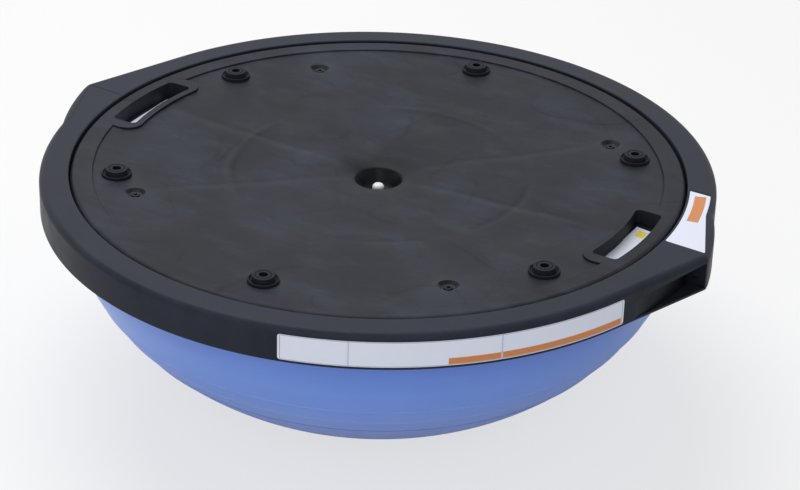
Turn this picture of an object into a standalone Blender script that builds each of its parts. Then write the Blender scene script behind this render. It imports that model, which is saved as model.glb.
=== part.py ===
"""Half ball balance trainer: a blue inflated dome clamped between a black base plate and a rim ring.

Metres, +Z up. The origin is where the dome rests on the floor, under the middle of the platform.
+X points through one of the two hand slots. The platform lies on top and the dome hangs under it.
"""

import math

import bmesh
import bpy
from mathutils import Matrix, Vector

# Sides of the turned pieces. The ring and the plate share theirs, so that their facets line up
SIDES = 72
DOME_SIDES = 48
FUNNEL_SIDES = 24
PLUG_SIDES = 16
FOOT_SIDES = 16
DIMPLE_SIDES = 12
SCREW_SIDES = 8

# Turn of each round hole, which keeps its corners off the seams of the turned pieces
PEG_TURN = 11

# Gap left between two pieces that touch
SEAT_GAP = 0.0003

# Rim ring: a flat band round the platform with a skirt outside it
RING_R = 0.325
RING_BAND = 0.028
RING_WALL = 0.0035
RING_SKIRT = 0.035
RING_FILLET = 0.0065
RING_EDGE = 0.001

# Inner flange of the rim ring, under the plate, with its ribs
FLANGE_W = 0.071
FLANGE_T = 0.0035
RIB_T = 0.003
RIB_STEP = 20
RIB_LIFT = 0.0006
HOOP_T = 0.0035

# Ears of the rim ring, one at each hand slot, with an open pocket on one side
EAR_ANGLE = 20
EAR_BACK_ANGLE = 15
EAR_BACK_BULGE = 0.003
EAR_CORNER_ROUND = 0.004
POCKET_START_ANGLE = 12
POCKET_ROOF = 0.010
POCKET_FLOOR = 0.0027
POCKET_END_Y = 0.0025
EAR_CAVITY_ANGLE = 8
EYE_R = 0.0032
EYE_INSET = 0.0065
EYE_DROP = 0.0225

# Base plate: a raised outer band and a shallow dished floor inside it
PLATE_GAP = 0.0015
PLATE_DROP = 0.0008
PLATE_T = 0.004
PLATE_EDGE_ROUND = 0.0065
PLATE_RIM_T = 0.0035
BAND_W = 0.021
BAND_STEP = 0.0015
DISH_SLOPE = math.radians(2)
SEAL_DROP = 0.0110
SEAL_LAP = 0.004
PLATE_RIB_H = 0.010
PLATE_RIB_T = 0.0025

# Funnel in the middle of the plate, with the air valve at its bottom
FUNNEL_ROUND_R = 0.045
FUNNEL_MOUTH_R = 0.0245
FUNNEL_MOUTH_DROP = 0.016
FUNNEL_FLOOR_R = 0.013
FUNNEL_FLOOR_DROP = 0.0310
GROMMET_HOLE_R = 0.0075
GROMMET_BORE_R = 0.0045
GROMMET_FLANGE_W = 0.0023
GROMMET_FLANGE_T = 0.0014
PLUG_HEAD_R = 0.0062
PLUG_HEAD_H = 0.0070
PLUG_STEM_L = 0.016
PLUG_TIP_TAPER = 0.0006

# The cup that holds the funnel is welded under the plate by a lap round its edge
CUP_LAP = 0.005
CUP_LAP_T = 0.002

# Hand slots and the wells under them
SLOT_EDGE = 0.013
SLOT_W = 0.0265
SLOT_HALF_L = 0.0505
SLOT_CORNER = 0.005
WELL_WALL = 0.003
WELL_IN_DEPTH = 0.0135
WELL_OUT_DEPTH = 0.0265
SLOT_BORDER_IN = 0.009
SLOT_BORDER_END = 0.0125
SLOT_BORDER_CORNER = 0.016
NOTCH_GAP = 0.003

# Dome: an ellipse turned about the upright axis, flattened where it carries the weight
DOME_INSET = 0.022
DOME_DEPTH = 0.231
DOME_FLAT = 0.003
DOME_WALL = 0.0035
DOME_WIDEST_DROP = 0.012
SHOULDER_R = 0.010

# Collar welded to the mouth of the dome. Its lip is clamped between the plate and the flange
LIP_T = 0.0035
LIP_W = 0.036

# Screws and feet
SCREW_R = 0.0025
SCREW_CLEAR = 0.0003
SCREW_HEAD_R = 0.0042
SCREW_HEAD_H = 0.0026
BOSS_R = 0.0055
BOSS_H = 0.0078
PLATE_SCREW_COUNT = 4
PLATE_SCREW_SETBACK = 0.0114
PLATE_SCREW_START = 45
DIMPLE_R = 0.010
DIMPLE_DEPTH = 0.0030
DIMPLE_SINK = 0.0052
FOOT_COUNT = 6
FOOT_SETBACK = 0.0253
FOOT_START = 36
FOOT_R = 0.015
FOOT_FLANGE_H = 0.0038
FOOT_H = 0.00675
FOOT_BOSS_R = 0.0123
FOOT_TOP_R = 0.0104
FOOT_SEAT_SINK = 0.0008
FOOT_WEB = 0.0012
WASHER_LIP = 0.0001
WASHER_T = 0.0008

# Radii that follow from the sizes above
RING_IN_R = RING_R - RING_BAND
CHANNEL_OUT_R = RING_R - RING_WALL
HOOP_IN_R = RING_IN_R - 0.0005
CORNER_R = RING_R / math.cos(math.radians(EAR_ANGLE))
POCKET_BACK_R = RING_R / math.cos(math.radians(EAR_ANGLE - POCKET_START_ANGLE))
PLATE_R = RING_IN_R - PLATE_GAP
STEP_R = PLATE_R - BAND_W
SLOT_OUT_R = PLATE_R - SLOT_EDGE
SLOT_IN_R = SLOT_OUT_R - SLOT_W
CUP_R = FUNNEL_ROUND_R + 0.006
PLATE_HOLE_R = CUP_R + SEAT_GAP
FLANGE_IN_R = RING_IN_R - FLANGE_W
SEAL_IN_R = FLANGE_IN_R - SEAL_LAP
LIP_OUT_R = FLANGE_IN_R + LIP_W
SEAL_OUT_R = LIP_OUT_R + SEAL_LAP
NECK_OUT_R = FLANGE_IN_R - SEAT_GAP
NECK_IN_R = NECK_OUT_R - DOME_WALL
DOME_R = RING_R - DOME_INSET
SHOULDER_IN_R = SLOT_IN_R + 0.002
SHOULDER_TURN_R = SLOT_OUT_R + WELL_WALL + 0.0055
PLATE_SCREW_CIRCLE_R = FLANGE_IN_R + PLATE_SCREW_SETBACK
FOOT_CIRCLE_R = FLANGE_IN_R + FOOT_SETBACK
SHANK_HOLE_R = SCREW_R + SCREW_CLEAR
WASHER_R = SCREW_HEAD_R + WASHER_LIP
FOOT_BORE_R = WASHER_R + SEAT_GAP
GROMMET_FLANGE_R = GROMMET_HOLE_R + GROMMET_FLANGE_W
PLUG_STEM_R = GROMMET_BORE_R - SEAT_GAP

# Heights that follow from the sizes above
TOP_Z = DOME_DEPTH - DOME_FLAT + DOME_WIDEST_DROP
DOME_MID_Z = TOP_Z - DOME_WIDEST_DROP
BAND_Z = TOP_Z - PLATE_DROP
FLOOR_EDGE_Z = BAND_Z - BAND_STEP
SEAL_Z = TOP_Z - SEAL_DROP
LIP_TOP_Z = SEAL_Z - SEAT_GAP
LIP_BOTTOM_Z = LIP_TOP_Z - LIP_T
FLANGE_TOP_Z = LIP_BOTTOM_Z - SEAT_GAP
FLANGE_BOTTOM_Z = FLANGE_TOP_Z - FLANGE_T
BOSS_BOTTOM_Z = FLANGE_BOTTOM_Z - BOSS_H
RIB_BOTTOM_Z = BOSS_BOTTOM_Z - 0.0006
SHOULDER_TOP_Z = RIB_BOTTOM_Z - SEAT_GAP
SHOULDER_OUT_Z = TOP_Z - WELL_OUT_DEPTH - WELL_WALL - 0.0024
FUNNEL_FLOOR_Z = TOP_Z - FUNNEL_FLOOR_DROP
FUNNEL_UNDER_Z = FUNNEL_FLOOR_Z - PLATE_T
GROMMET_TOP_Z = FUNNEL_FLOOR_Z + SEAT_GAP + GROMMET_FLANGE_T
PLUG_SEAT_Z = GROMMET_TOP_Z + SEAT_GAP
DEEP_Z = TOP_Z - 0.060


def dish_z(radius):
    """Top of the dished floor of the plate at a radius."""
    return FLOOR_EDGE_Z - (STEP_R - radius) * math.tan(DISH_SLOPE)


FOOT_SEAT_Z = dish_z(FOOT_CIRCLE_R) - FOOT_SEAT_SINK


def clear_scene():
    for old in list(bpy.data.objects):
        bpy.data.objects.remove(old, do_unlink=True)


def material(name, colour, roughness, metallic=0.0):
    made = bpy.data.materials.new(name)
    made.use_nodes = True
    shader = made.node_tree.nodes["Principled BSDF"]
    shader.inputs["Base Color"].default_value = (*colour, 1.0)
    shader.inputs["Roughness"].default_value = roughness
    shader.inputs["Metallic"].default_value = metallic
    return made


def polar(radius, degrees, z=0.0):
    angle = math.radians(degrees)
    return Vector((radius * math.cos(angle), radius * math.sin(angle), z))


def arc(centre, radius, start, end, steps):
    """Points (r, z) of a round stretch of a profile, angles in degrees from the outward direction."""
    points = []
    for k in range(steps + 1):
        angle = math.radians(start + (end - start) * k / steps)
        points.append((centre[0] + radius * math.cos(angle), centre[1] + radius * math.sin(angle)))
    return points


def add_object(name, mesh, finish):
    made = bpy.data.objects.new(name, mesh)
    bpy.context.collection.objects.link(made)
    mesh.materials.append(finish)
    return made


def shade_round(mesh, degrees=35):
    mesh.shade_smooth()
    mesh.set_sharp_from_angle(angle=math.radians(degrees))


def mesh_from(bm, name):
    bmesh.ops.remove_doubles(bm, verts=bm.verts, dist=1e-6)
    bmesh.ops.recalc_face_normals(bm, faces=bm.faces)
    mesh = bpy.data.meshes.new(name)
    bm.to_mesh(mesh)
    bm.free()
    return mesh


def turned(name, profile, sides, centre=(0.0, 0.0)):
    """A closed profile of (r, z) points spun once about an upright axis."""
    bm = bmesh.new()
    ring = [bm.verts.new((r, 0.0, z)) for r, z in profile]
    edges = [bm.edges.new((ring[k], ring[k - 1])) for k in range(len(ring)) if ring[k] != ring[k - 1]]
    bmesh.ops.spin(bm, geom=ring + edges, cent=(0, 0, 0), axis=(0, 0, 1),
                   angle=math.tau, steps=sides, use_merge=True)
    bmesh.ops.remove_doubles(bm, verts=bm.verts, dist=1e-6)
    lone = [edge for edge in bm.edges if not edge.link_faces]
    bmesh.ops.delete(bm, geom=lone, context="EDGES")
    bmesh.ops.translate(bm, verts=bm.verts, vec=(centre[0], centre[1], 0.0))
    mesh = mesh_from(bm, name)
    shade_round(mesh)
    return mesh


def graded_turned(name, profile, sides, coarse_sides, coarse_below):
    """A closed profile turned about the upright axis, with fewer sides near the middle."""
    bm = bmesh.new()
    rows = []
    for r, z in profile:
        count = sides if r >= coarse_below else coarse_sides
        rows.append([bm.verts.new(polar(r, 360 * k / count, z)) for k in range(count)])
    for k, row in enumerate(rows):
        before = rows[k - 1]
        few, many = sorted((before, row), key=len)
        ratio = len(many) // len(few)
        for j in range(len(few)):
            near, far = few[j - 1], few[j]
            fine = [many[(j * ratio + step) % len(many)] for step in range(-ratio, 1)]
            middle = ratio // 2
            for step in range(ratio):
                if ratio == 1:
                    bm.faces.new((near, fine[0], fine[1], far))
                elif step < middle:
                    bm.faces.new((near, fine[step], fine[step + 1]))
                else:
                    bm.faces.new((far, fine[step], fine[step + 1]))
            if ratio > 1:
                bm.faces.new((near, fine[middle], far))
    mesh = mesh_from(bm, name)
    shade_round(mesh)
    return mesh


def prism(name, outline, low, high):
    """An outline of (x, y) points raised from one height to another."""
    bm = bmesh.new()
    face = bm.faces.new([bm.verts.new((x, y, low)) for x, y in outline])
    raised = bmesh.ops.extrude_face_region(bm, geom=[face])
    verts = [item for item in raised["geom"] if isinstance(item, bmesh.types.BMVert)]
    bmesh.ops.translate(bm, verts=verts, vec=(0, 0, high - low))
    return mesh_from(bm, name)


def cutter(name, mesh):
    """A hidden helper that a Boolean takes away or adds."""
    made = bpy.data.objects.new(name, mesh)
    bpy.context.collection.objects.link(made)
    made.hide_render = True
    made.display_type = "WIRE"
    return made


def joined(name, meshes):
    """Several separate closed meshes in one cutter."""
    bm = bmesh.new()
    for mesh in meshes:
        bm.from_mesh(mesh)
    whole = bpy.data.meshes.new(name)
    bm.to_mesh(whole)
    bm.free()
    return cutter(name, whole)


def boolean(target, helper, operation="DIFFERENCE"):
    step = target.modifiers.new(helper.name, "BOOLEAN")
    step.operation = operation
    step.solver = "EXACT"
    step.object = helper


def settle(target):
    """Applies the cuts, closes the hairline splits they can leave and keeps their edges crisp."""
    step = target.modifiers.new("weld", "WELD")
    step.merge_threshold = 0.000002
    depsgraph = bpy.context.evaluated_depsgraph_get()
    finished = bpy.data.meshes.new_from_object(target.evaluated_get(depsgraph))
    helpers = [step.object for step in target.modifiers if step.type == "BOOLEAN"]
    target.modifiers.clear()
    target.data = finished
    for helper in helpers:
        bpy.data.objects.remove(helper, do_unlink=True)
    shade_round(finished, 30)


def grid_angles(start, end):
    """Angles from start to end in degrees, with the middle of every facet of the ring between."""
    pitch = 360 / SIDES
    first = math.floor(start / pitch + 0.5)
    last = math.ceil(end / pitch - 0.5)
    return [start] + [(k + 0.5) * pitch for k in range(first, last)] + [end]


def rib_bay(inner, outer, start, end, thickness):
    """Outline of the hollow between two radial ribs of even thickness."""
    def offset(radius):
        return math.degrees(math.asin(thickness / 2 / radius))
    near = grid_angles(start + offset(inner), end - offset(inner))
    far = grid_angles(start + offset(outer), end - offset(outer))
    points = [polar(inner, angle) for angle in near]
    points += [polar(outer, angle) for angle in reversed(far)]
    return [(point.x, point.y) for point in points]


def slot_outline(inner, outer, half_length, corner, steps=3):
    """A slot between two arcs about the middle, with straight ends and rounded corners, on +X."""
    def on_arc(radius, y):
        return math.sqrt(radius * radius - y * y)
    points = []
    inner_y = half_length - corner
    inside = on_arc(inner, inner_y) + corner
    outside = on_arc(outer, inner_y) - corner
    for k in range(steps + 1):
        angle = math.radians(180 - 90 * k / steps)
        points.append((inside + corner * math.cos(angle), inner_y + corner * math.sin(angle)))
    for k in range(steps + 1):
        angle = math.radians(90 - 90 * k / steps)
        points.append((outside + corner * math.cos(angle), inner_y + corner * math.sin(angle)))
    rows = 6
    for k in range(1, rows):
        y = inner_y - 2 * inner_y * k / rows
        points.append((on_arc(outer, y), y))
    for x, y in list(points[: 2 * steps + 2])[::-1]:
        points.append((x, -y))
    for k in range(1, rows):
        y = -inner_y + 2 * inner_y * k / rows
        points.append((on_arc(inner, y), y))
    return points


def half_turn(mesh):
    """The same mesh turned half round the middle, for the second of a pair."""
    other = mesh.copy()
    other.transform(Matrix.Rotation(math.pi, 4, "Z"))
    return other


def around(count, start, radius):
    """Centres of a ring of like pieces."""
    return [polar(radius, start + 360 / count * k) for k in range(count)]


PLATE_SCREWS = around(PLATE_SCREW_COUNT, PLATE_SCREW_START, PLATE_SCREW_CIRCLE_R)
FEET = around(FOOT_COUNT, FOOT_START, FOOT_CIRCLE_R)


def round_pegs(name, centres, radius, low, high, sides=SCREW_SIDES):
    """Upright round pegs, which a Boolean adds as bosses or takes away as holes."""
    pegs = []
    for at in centres:
        outline = [at + polar(radius, PEG_TURN + 360 * k / sides) for k in range(sides)]
        pegs.append(prism(name, [(point.x, point.y) for point in outline], low, high))
    return pegs


def ear_outline():
    """Corners of one ear in plan: its straight side, its rounded tip and its bulging back."""
    tip = polar(CORNER_R, 0)
    side = polar(RING_R, -EAR_ANGLE)
    back = polar(RING_R, EAR_BACK_ANGLE)
    outward = Vector((back.y - tip.y, tip.x - back.x, 0)).normalized()
    before = tip + (side - tip).normalized() * EAR_CORNER_ROUND
    after = tip + (back - tip).normalized() * EAR_CORNER_ROUND
    points = []
    for k in range(4):
        t = k / 3
        points.append(before * (1 - t) ** 2 + tip * 2 * t * (1 - t) + after * t * t)
    steps = 5
    first = EAR_CORNER_ROUND / (back - tip).length
    for k in range(1, steps + 1):
        t = first + (1 - first) * k / steps
        points.append(tip.lerp(back, t) + outward * EAR_BACK_BULGE * 4 * t * (1 - t))
    return points


def rim_stations():
    """Polar outline of the ring with its two ears, as (degrees, radius) pairs round the circle."""
    pitch = 360 / SIDES
    half = [(-EAR_ANGLE, RING_R)]
    angle = pitch - EAR_ANGLE
    while angle < -pitch / 2:
        half.append((angle, RING_R / math.cos(math.radians(angle + EAR_ANGLE))))
        angle += pitch
    for point in ear_outline():
        half.append((math.degrees(math.atan2(point.y, point.x)), point.length))
    angle = EAR_BACK_ANGLE + pitch
    while angle < 180 - EAR_ANGLE - pitch / 2:
        half.append((angle, RING_R))
        angle += pitch
    return half + [(angle + 180, radius) for angle, radius in half]


def rim_section(outer):
    """Blank section of the ring for one outer radius, as (r, z) points."""
    fillet_at = (outer - RING_FILLET, TOP_Z - RING_FILLET)
    points = [(RING_IN_R, TOP_Z - RING_EDGE), (RING_IN_R + RING_EDGE, TOP_Z)]
    points += arc(fillet_at, RING_FILLET, 90, 0, 3)
    points += [
        (outer, TOP_Z - RING_SKIRT),
        (CHANNEL_OUT_R - 0.0012, TOP_Z - RING_SKIRT),
        (CHANNEL_OUT_R - 0.0025, SHOULDER_OUT_Z + RIB_LIFT),
        (SHOULDER_TURN_R - 0.002, SHOULDER_OUT_Z + RIB_LIFT),
        (SHOULDER_IN_R, RIB_BOTTOM_Z),
        (FLANGE_IN_R, RIB_BOTTOM_Z),
        (FLANGE_IN_R, FLANGE_TOP_Z),
        (RING_IN_R, FLANGE_TOP_Z),
    ]
    return points


def rim_blank():
    """Ring and ears lofted through sections that stand round the circle."""
    bm = bmesh.new()
    rings = []
    for angle, outer in rim_stations():
        turn = Matrix.Rotation(math.radians(angle), 4, "Z")
        rings.append([bm.verts.new(turn @ Vector((r, 0, z))) for r, z in rim_section(outer)])
    for k, ring in enumerate(rings):
        before = rings[k - 1]
        for j in range(len(ring)):
            bm.faces.new((before[j - 1], ring[j - 1], ring[j], before[j]))
    return mesh_from(bm, "rim_ring")


def ear_pocket():
    """The wedge-shaped hollow behind the straight side of an ear, open to the outside."""
    low = TOP_Z - RING_SKIRT + POCKET_FLOOR
    high = TOP_Z - POCKET_ROOF
    back = [polar(POCKET_BACK_R, angle) for angle in (-13.5, -10.5, -7.5, -4.5, -2.0)]
    outline = [(point.x, point.y) for point in back]
    inner_x = math.sqrt(POCKET_BACK_R ** 2 - POCKET_END_Y ** 2)
    outline += [(inner_x, -POCKET_END_Y), (CORNER_R + 0.02, -POCKET_END_Y)]
    far = polar(CORNER_R + 0.02, -14.5)
    outline.append((far.x, far.y))
    return prism("ear_pocket", outline, low, high)


def ear_cavity():
    """The hollow under the back half of an ear, open below."""
    stations = [pair for pair in rim_stations() if 1.2 < pair[0] <= EAR_CAVITY_ANGLE]
    outer = [polar(radius - RING_WALL, angle) for angle, radius in stations]
    inner = [polar(RING_R, angle) for angle in (EAR_CAVITY_ANGLE, 5.0, 2.5, 1.0)]
    first = polar(CORNER_R - RING_WALL - 0.001, 1.0)
    points = [first] + outer + inner
    return prism("ear_cavity", [(p.x, p.y) for p in points], DEEP_Z, TOP_Z - RING_WALL)


def ear_eye():
    """The small round hole through the end wall of an ear's pocket."""
    profile = [(0, -0.02), (EYE_R, -0.02), (EYE_R, 0.02), (0, 0.02)]
    mesh = turned("ear_eye", profile, SCREW_SIDES)
    lay = Matrix.Rotation(math.radians(90), 4, "X")
    place = Matrix.Translation((POCKET_BACK_R + EYE_INSET, 0.0, TOP_Z - EYE_DROP))
    mesh.transform(place @ lay)
    return mesh


def well_notch(low, high):
    """Window that a hand slot's well passes through, in the ring's flange and in the dome's lip."""
    wide = WELL_WALL + NOTCH_GAP
    outline = slot_outline(SLOT_IN_R - wide, SLOT_OUT_R + wide, SLOT_HALF_L + wide, SLOT_CORNER + wide, 2)
    return prism("well_notch", outline, low, high)


def rib_angles():
    """Ribs stand at every step but those that would cross a well."""
    reach = math.degrees(math.asin((SLOT_HALF_L + WELL_WALL + NOTCH_GAP) / SLOT_IN_R))
    angles = [k * RIB_STEP for k in range(360 // RIB_STEP)]
    return [a for a in angles if min(a % 180, 180 - a % 180) > reach]


def build_rim_ring(finish):
    ring = add_object("rim_ring", rim_blank(), finish)
    angles = rib_angles()
    bays = []
    for k, start in enumerate(angles):
        end = angles[(k + 1) % len(angles)]
        if end <= start:
            end += 360
        inner = rib_bay(FLANGE_IN_R + HOOP_T, HOOP_IN_R, start, end, RIB_T)
        bays.append(prism("flange_bay", inner, DEEP_Z, FLANGE_BOTTOM_Z))
        outer = rib_bay(HOOP_IN_R + HOOP_T, CHANNEL_OUT_R, start, end, RIB_T)
        bays.append(prism("channel_bay", outer, DEEP_Z, TOP_Z - RING_WALL))
    boolean(ring, joined("rim_bays", bays))
    at = PLATE_SCREWS + FEET
    bosses = round_pegs("boss", at, BOSS_R, BOSS_BOTTOM_Z, FLANGE_BOTTOM_Z + FLANGE_T / 2)
    boolean(ring, joined("rim_bosses", bosses), "UNION")
    holes = round_pegs("hole", at, SHANK_HOLE_R, DEEP_Z, TOP_Z)
    pair = [ear_pocket(), ear_cavity(), well_notch(DEEP_Z, FLANGE_TOP_Z + 0.004)]
    pair += [half_turn(mesh) for mesh in pair]
    eyes = [ear_eye()]
    eyes.append(half_turn(eyes[0]))
    boolean(ring, joined("rim_holes", holes))
    boolean(ring, joined("rim_pockets", pair))
    boolean(ring, joined("ear_eyes", eyes))
    settle(ring)
    return ring


def cup_profile():
    """Section of the valve cup from the valve hole out over the funnel and back underneath."""
    round_z = dish_z(FUNNEL_ROUND_R)
    mouth_z = TOP_Z - FUNNEL_MOUTH_DROP
    knee_r = FUNNEL_FLOOR_R + 0.0035
    lap_r = CUP_R + CUP_LAP
    under = PLATE_T + SEAT_GAP
    return [
        (GROMMET_HOLE_R, FUNNEL_FLOOR_Z),
        (FUNNEL_FLOOR_R, FUNNEL_FLOOR_Z),
        (knee_r, FUNNEL_FLOOR_Z + 0.0025),
        (FUNNEL_MOUTH_R - 0.004, mouth_z - 0.0045),
        (FUNNEL_MOUTH_R, mouth_z),
        (FUNNEL_MOUTH_R + 0.006, mouth_z + 0.0030),
        (FUNNEL_ROUND_R - 0.006, round_z - 0.0007),
        (CUP_R, dish_z(CUP_R)),
        (CUP_R, dish_z(CUP_R) - under),
        (lap_r, dish_z(lap_r) - under),
        (lap_r, dish_z(lap_r) - under - CUP_LAP_T),
        (CUP_R - 0.002, dish_z(CUP_R) - under - CUP_LAP_T),
        (FUNNEL_MOUTH_R + 0.0045, mouth_z - PLATE_T + 0.001),
        (knee_r + 0.0045, FUNNEL_FLOOR_Z - 0.001),
        (knee_r, FUNNEL_UNDER_Z),
        (GROMMET_HOLE_R, FUNNEL_UNDER_Z),
    ]


def plate_profile():
    """Section of the plate from the hole for the cup out over the top and back underneath."""
    graded_r = PLATE_HOLE_R + 0.010
    top = [
        (PLATE_HOLE_R, dish_z(PLATE_HOLE_R)),
        (graded_r, dish_z(graded_r)),
        (STEP_R, FLOOR_EDGE_Z),
        (STEP_R + 0.0004, BAND_Z),
    ]
    edge_at = (PLATE_R - PLATE_EDGE_ROUND, BAND_Z - PLATE_EDGE_ROUND)
    edge = arc(edge_at, PLATE_EDGE_ROUND, 90, 0, 3)
    rim_in = PLATE_R - PLATE_RIM_T
    under_z = BAND_Z - PLATE_T - 0.001
    under = [
        (PLATE_R, FLANGE_TOP_Z + SEAT_GAP),
        (rim_in, FLANGE_TOP_Z + SEAT_GAP),
        (rim_in, under_z),
        (SEAL_OUT_R + 0.003, under_z),
        (SEAL_OUT_R, SEAL_Z),
        (SEAL_IN_R, SEAL_Z),
        (SEAL_IN_R - 0.003, dish_z(SEAL_IN_R) - PLATE_T),
        (graded_r, dish_z(graded_r) - PLATE_T),
        (PLATE_HOLE_R, dish_z(PLATE_HOLE_R) - PLATE_T),
    ]
    return top + edge + under


def slot_border():
    """Raised border round a hand slot, level with the outer band."""
    half_length = SLOT_HALF_L + SLOT_BORDER_END
    inner = SLOT_IN_R - SLOT_BORDER_IN
    outline = slot_outline(inner, SLOT_OUT_R + WELL_WALL, half_length, SLOT_BORDER_CORNER, 4)
    return prism("slot_border", outline, BAND_Z - PLATE_T, BAND_Z)


def sloped_prism(name, outline, inner_depth, outer_depth, top):
    """An upright prism whose flat bottom falls from the inner ends of a slot to its outer side."""
    mesh = prism(name, outline, DEEP_Z, top)
    inner_x = math.sqrt(SLOT_IN_R ** 2 - (SLOT_HALF_L - SLOT_CORNER) ** 2)
    for vert in mesh.vertices:
        if vert.co.z < DEEP_Z + 0.001:
            across = (vert.co.x - inner_x) / (SLOT_OUT_R - inner_x)
            vert.co.z = TOP_Z - inner_depth - across * (outer_depth - inner_depth)
    return mesh


def well_outside():
    """Outline of the outer face of a well's wall."""
    return slot_outline(
        SLOT_IN_R - WELL_WALL, SLOT_OUT_R + WELL_WALL, SLOT_HALF_L + WELL_WALL, SLOT_CORNER + WELL_WALL
    )


def slot_skirt():
    """Wall that hangs under the plate round a slot and meets the tub below it."""
    return prism("slot_skirt", well_outside(), SEAL_Z + 0.0002, BAND_Z - PLATE_T / 2)


def well_hollow():
    outline = slot_outline(SLOT_IN_R, SLOT_OUT_R, SLOT_HALF_L, SLOT_CORNER)
    return sloped_prism("well_hollow", outline, WELL_IN_DEPTH, WELL_OUT_DEPTH, TOP_Z + 0.01)


def dimple(at):
    """A tapered hollow in the plate that sinks the head of a screw."""
    rim_z = dish_z(PLATE_SCREW_CIRCLE_R)
    head_r = SCREW_HEAD_R + SCREW_CLEAR
    profile = [
        (0, rim_z - DIMPLE_SINK),
        (head_r, rim_z - DIMPLE_SINK),
        (head_r, rim_z - DIMPLE_DEPTH),
        (DIMPLE_R * 0.6, rim_z - DIMPLE_DEPTH),
        (DIMPLE_R, rim_z + 0.0004),
        (DIMPLE_R, rim_z + 0.003),
        (0, rim_z + 0.003),
    ]
    return turned("dimple", profile, DIMPLE_SIDES, (at.x, at.y))


def plate_ribs():
    """Stiffening ribs under the middle of the plate, one to each screw and each hand slot."""
    inner = PLATE_HOLE_R + CUP_LAP + 0.003
    outer = SEAL_IN_R - 0.006
    low = dish_z(inner) - PLATE_T - PLATE_RIB_H
    high = dish_z(inner) - PLATE_T / 2
    ribs = []
    angles = [PLATE_SCREW_START + 90 * k for k in range(PLATE_SCREW_COUNT)] + [0, 180]
    for angle in angles:
        side = PLATE_RIB_T / 2
        mesh = prism("rib", [(inner, -side), (outer, -side), (outer, side), (inner, side)], low, high)
        rise = dish_z(outer) - dish_z(inner)
        for vert in mesh.vertices:
            if vert.co.x > (inner + outer) / 2:
                vert.co.z += rise
        mesh.transform(Matrix.Rotation(math.radians(angle), 4, "Z"))
        ribs.append(mesh)
    return ribs


def build_base_plate(finish):
    body = graded_turned("base_plate", plate_profile(), SIDES, FUNNEL_SIDES, PLATE_HOLE_R + 0.005)
    plate = add_object("base_plate", body, finish)
    borders = [slot_border()]
    borders.append(half_turn(borders[0]))
    boolean(plate, joined("slot_borders", borders), "UNION")
    skirts = [slot_skirt()]
    skirts.append(half_turn(skirts[0]))
    boolean(plate, joined("slot_skirts", skirts), "UNION")
    for k, rib in enumerate(plate_ribs()):
        boolean(plate, cutter(f"plate_rib_{k + 1}", rib), "UNION")
    hollows = [well_hollow()]
    hollows.append(half_turn(hollows[0]))
    hollows += [dimple(at) for at in PLATE_SCREWS]
    hollows += round_pegs("foot_seat", FEET, FOOT_R + 2 * SEAT_GAP, FOOT_SEAT_Z, TOP_Z + 0.01, FOOT_SIDES)
    boolean(plate, joined("plate_hollows", hollows))
    holes = round_pegs("hole", PLATE_SCREWS + FEET, SHANK_HOLE_R, DEEP_Z, TOP_Z)
    boolean(plate, joined("plate_holes", holes))
    settle(plate)


def build_well_tubs(finish):
    """The two sloping tubs welded under the slots. Fingers reach into them."""
    outline = well_outside()
    tub = sloped_prism(
        "well_tub", outline, WELL_IN_DEPTH + WELL_WALL, WELL_OUT_DEPTH + WELL_WALL, SEAL_Z - SEAT_GAP
    )
    for side, body, hollow in (
        ("right", tub, well_hollow()),
        ("left", half_turn(tub), half_turn(well_hollow())),
    ):
        made = add_object(f"well_tub_{side}", body, finish)
        boolean(made, cutter("tub_hollow", hollow))
        settle(made)


def build_valve_cup(finish):
    add_object("valve_cup", turned("valve_cup", cup_profile(), FUNNEL_SIDES), finish)


def dome_skin(inset):
    """From the collar out over the shoulder, down the ellipse and in to the middle of the floor patch."""
    centre = (SHOULDER_TURN_R, SHOULDER_OUT_Z - SHOULDER_R)
    turn = arc(centre, SHOULDER_R - inset, 90, 12, 2)
    start = math.asin((centre[1] - 0.004 - DOME_MID_Z) / (DOME_DEPTH - inset))
    end = math.asin((inset - DOME_MID_Z) / (DOME_DEPTH - inset))
    steps = 4 if inset else 11
    side = []
    for k in range(steps + 1):
        angle = start + (end - start) * k / steps
        radius = (DOME_R - inset) * math.cos(angle)
        side.append((radius, DOME_MID_Z + (DOME_DEPTH - inset) * math.sin(angle)))
    flat = [(NECK_IN_R, SHOULDER_TOP_Z - inset), (SHOULDER_IN_R - inset, SHOULDER_TOP_Z - inset)]
    return flat + turn + side + [(0.0, inset)]


def build_bladder(finish):
    """The air-filled dome and the collar welded to its mouth."""
    skins = dome_skin(0.0) + dome_skin(DOME_WALL)[::-1]
    add_object("bladder_dome", turned("bladder_dome", skins, DOME_SIDES), finish)
    weld_z = SHOULDER_TOP_Z + SEAT_GAP
    section = [
        (NECK_IN_R, LIP_TOP_Z),
        (LIP_OUT_R, LIP_TOP_Z),
        (LIP_OUT_R, LIP_BOTTOM_Z),
        (NECK_OUT_R, LIP_BOTTOM_Z),
        (NECK_OUT_R, weld_z),
        (NECK_IN_R, weld_z),
    ]
    collar = add_object("bladder_collar", turned("bladder_collar", section, DOME_SIDES), finish)
    holes = round_pegs("hole", PLATE_SCREWS + FEET, SHANK_HOLE_R, LIP_BOTTOM_Z - 0.002, TOP_Z)
    boolean(collar, joined("lip_holes", holes))
    notches = [well_notch(LIP_BOTTOM_Z - 0.004, LIP_TOP_Z + 0.004)]
    notches.append(half_turn(notches[0]))
    boolean(collar, joined("lip_notches", notches))
    settle(collar)


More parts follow.
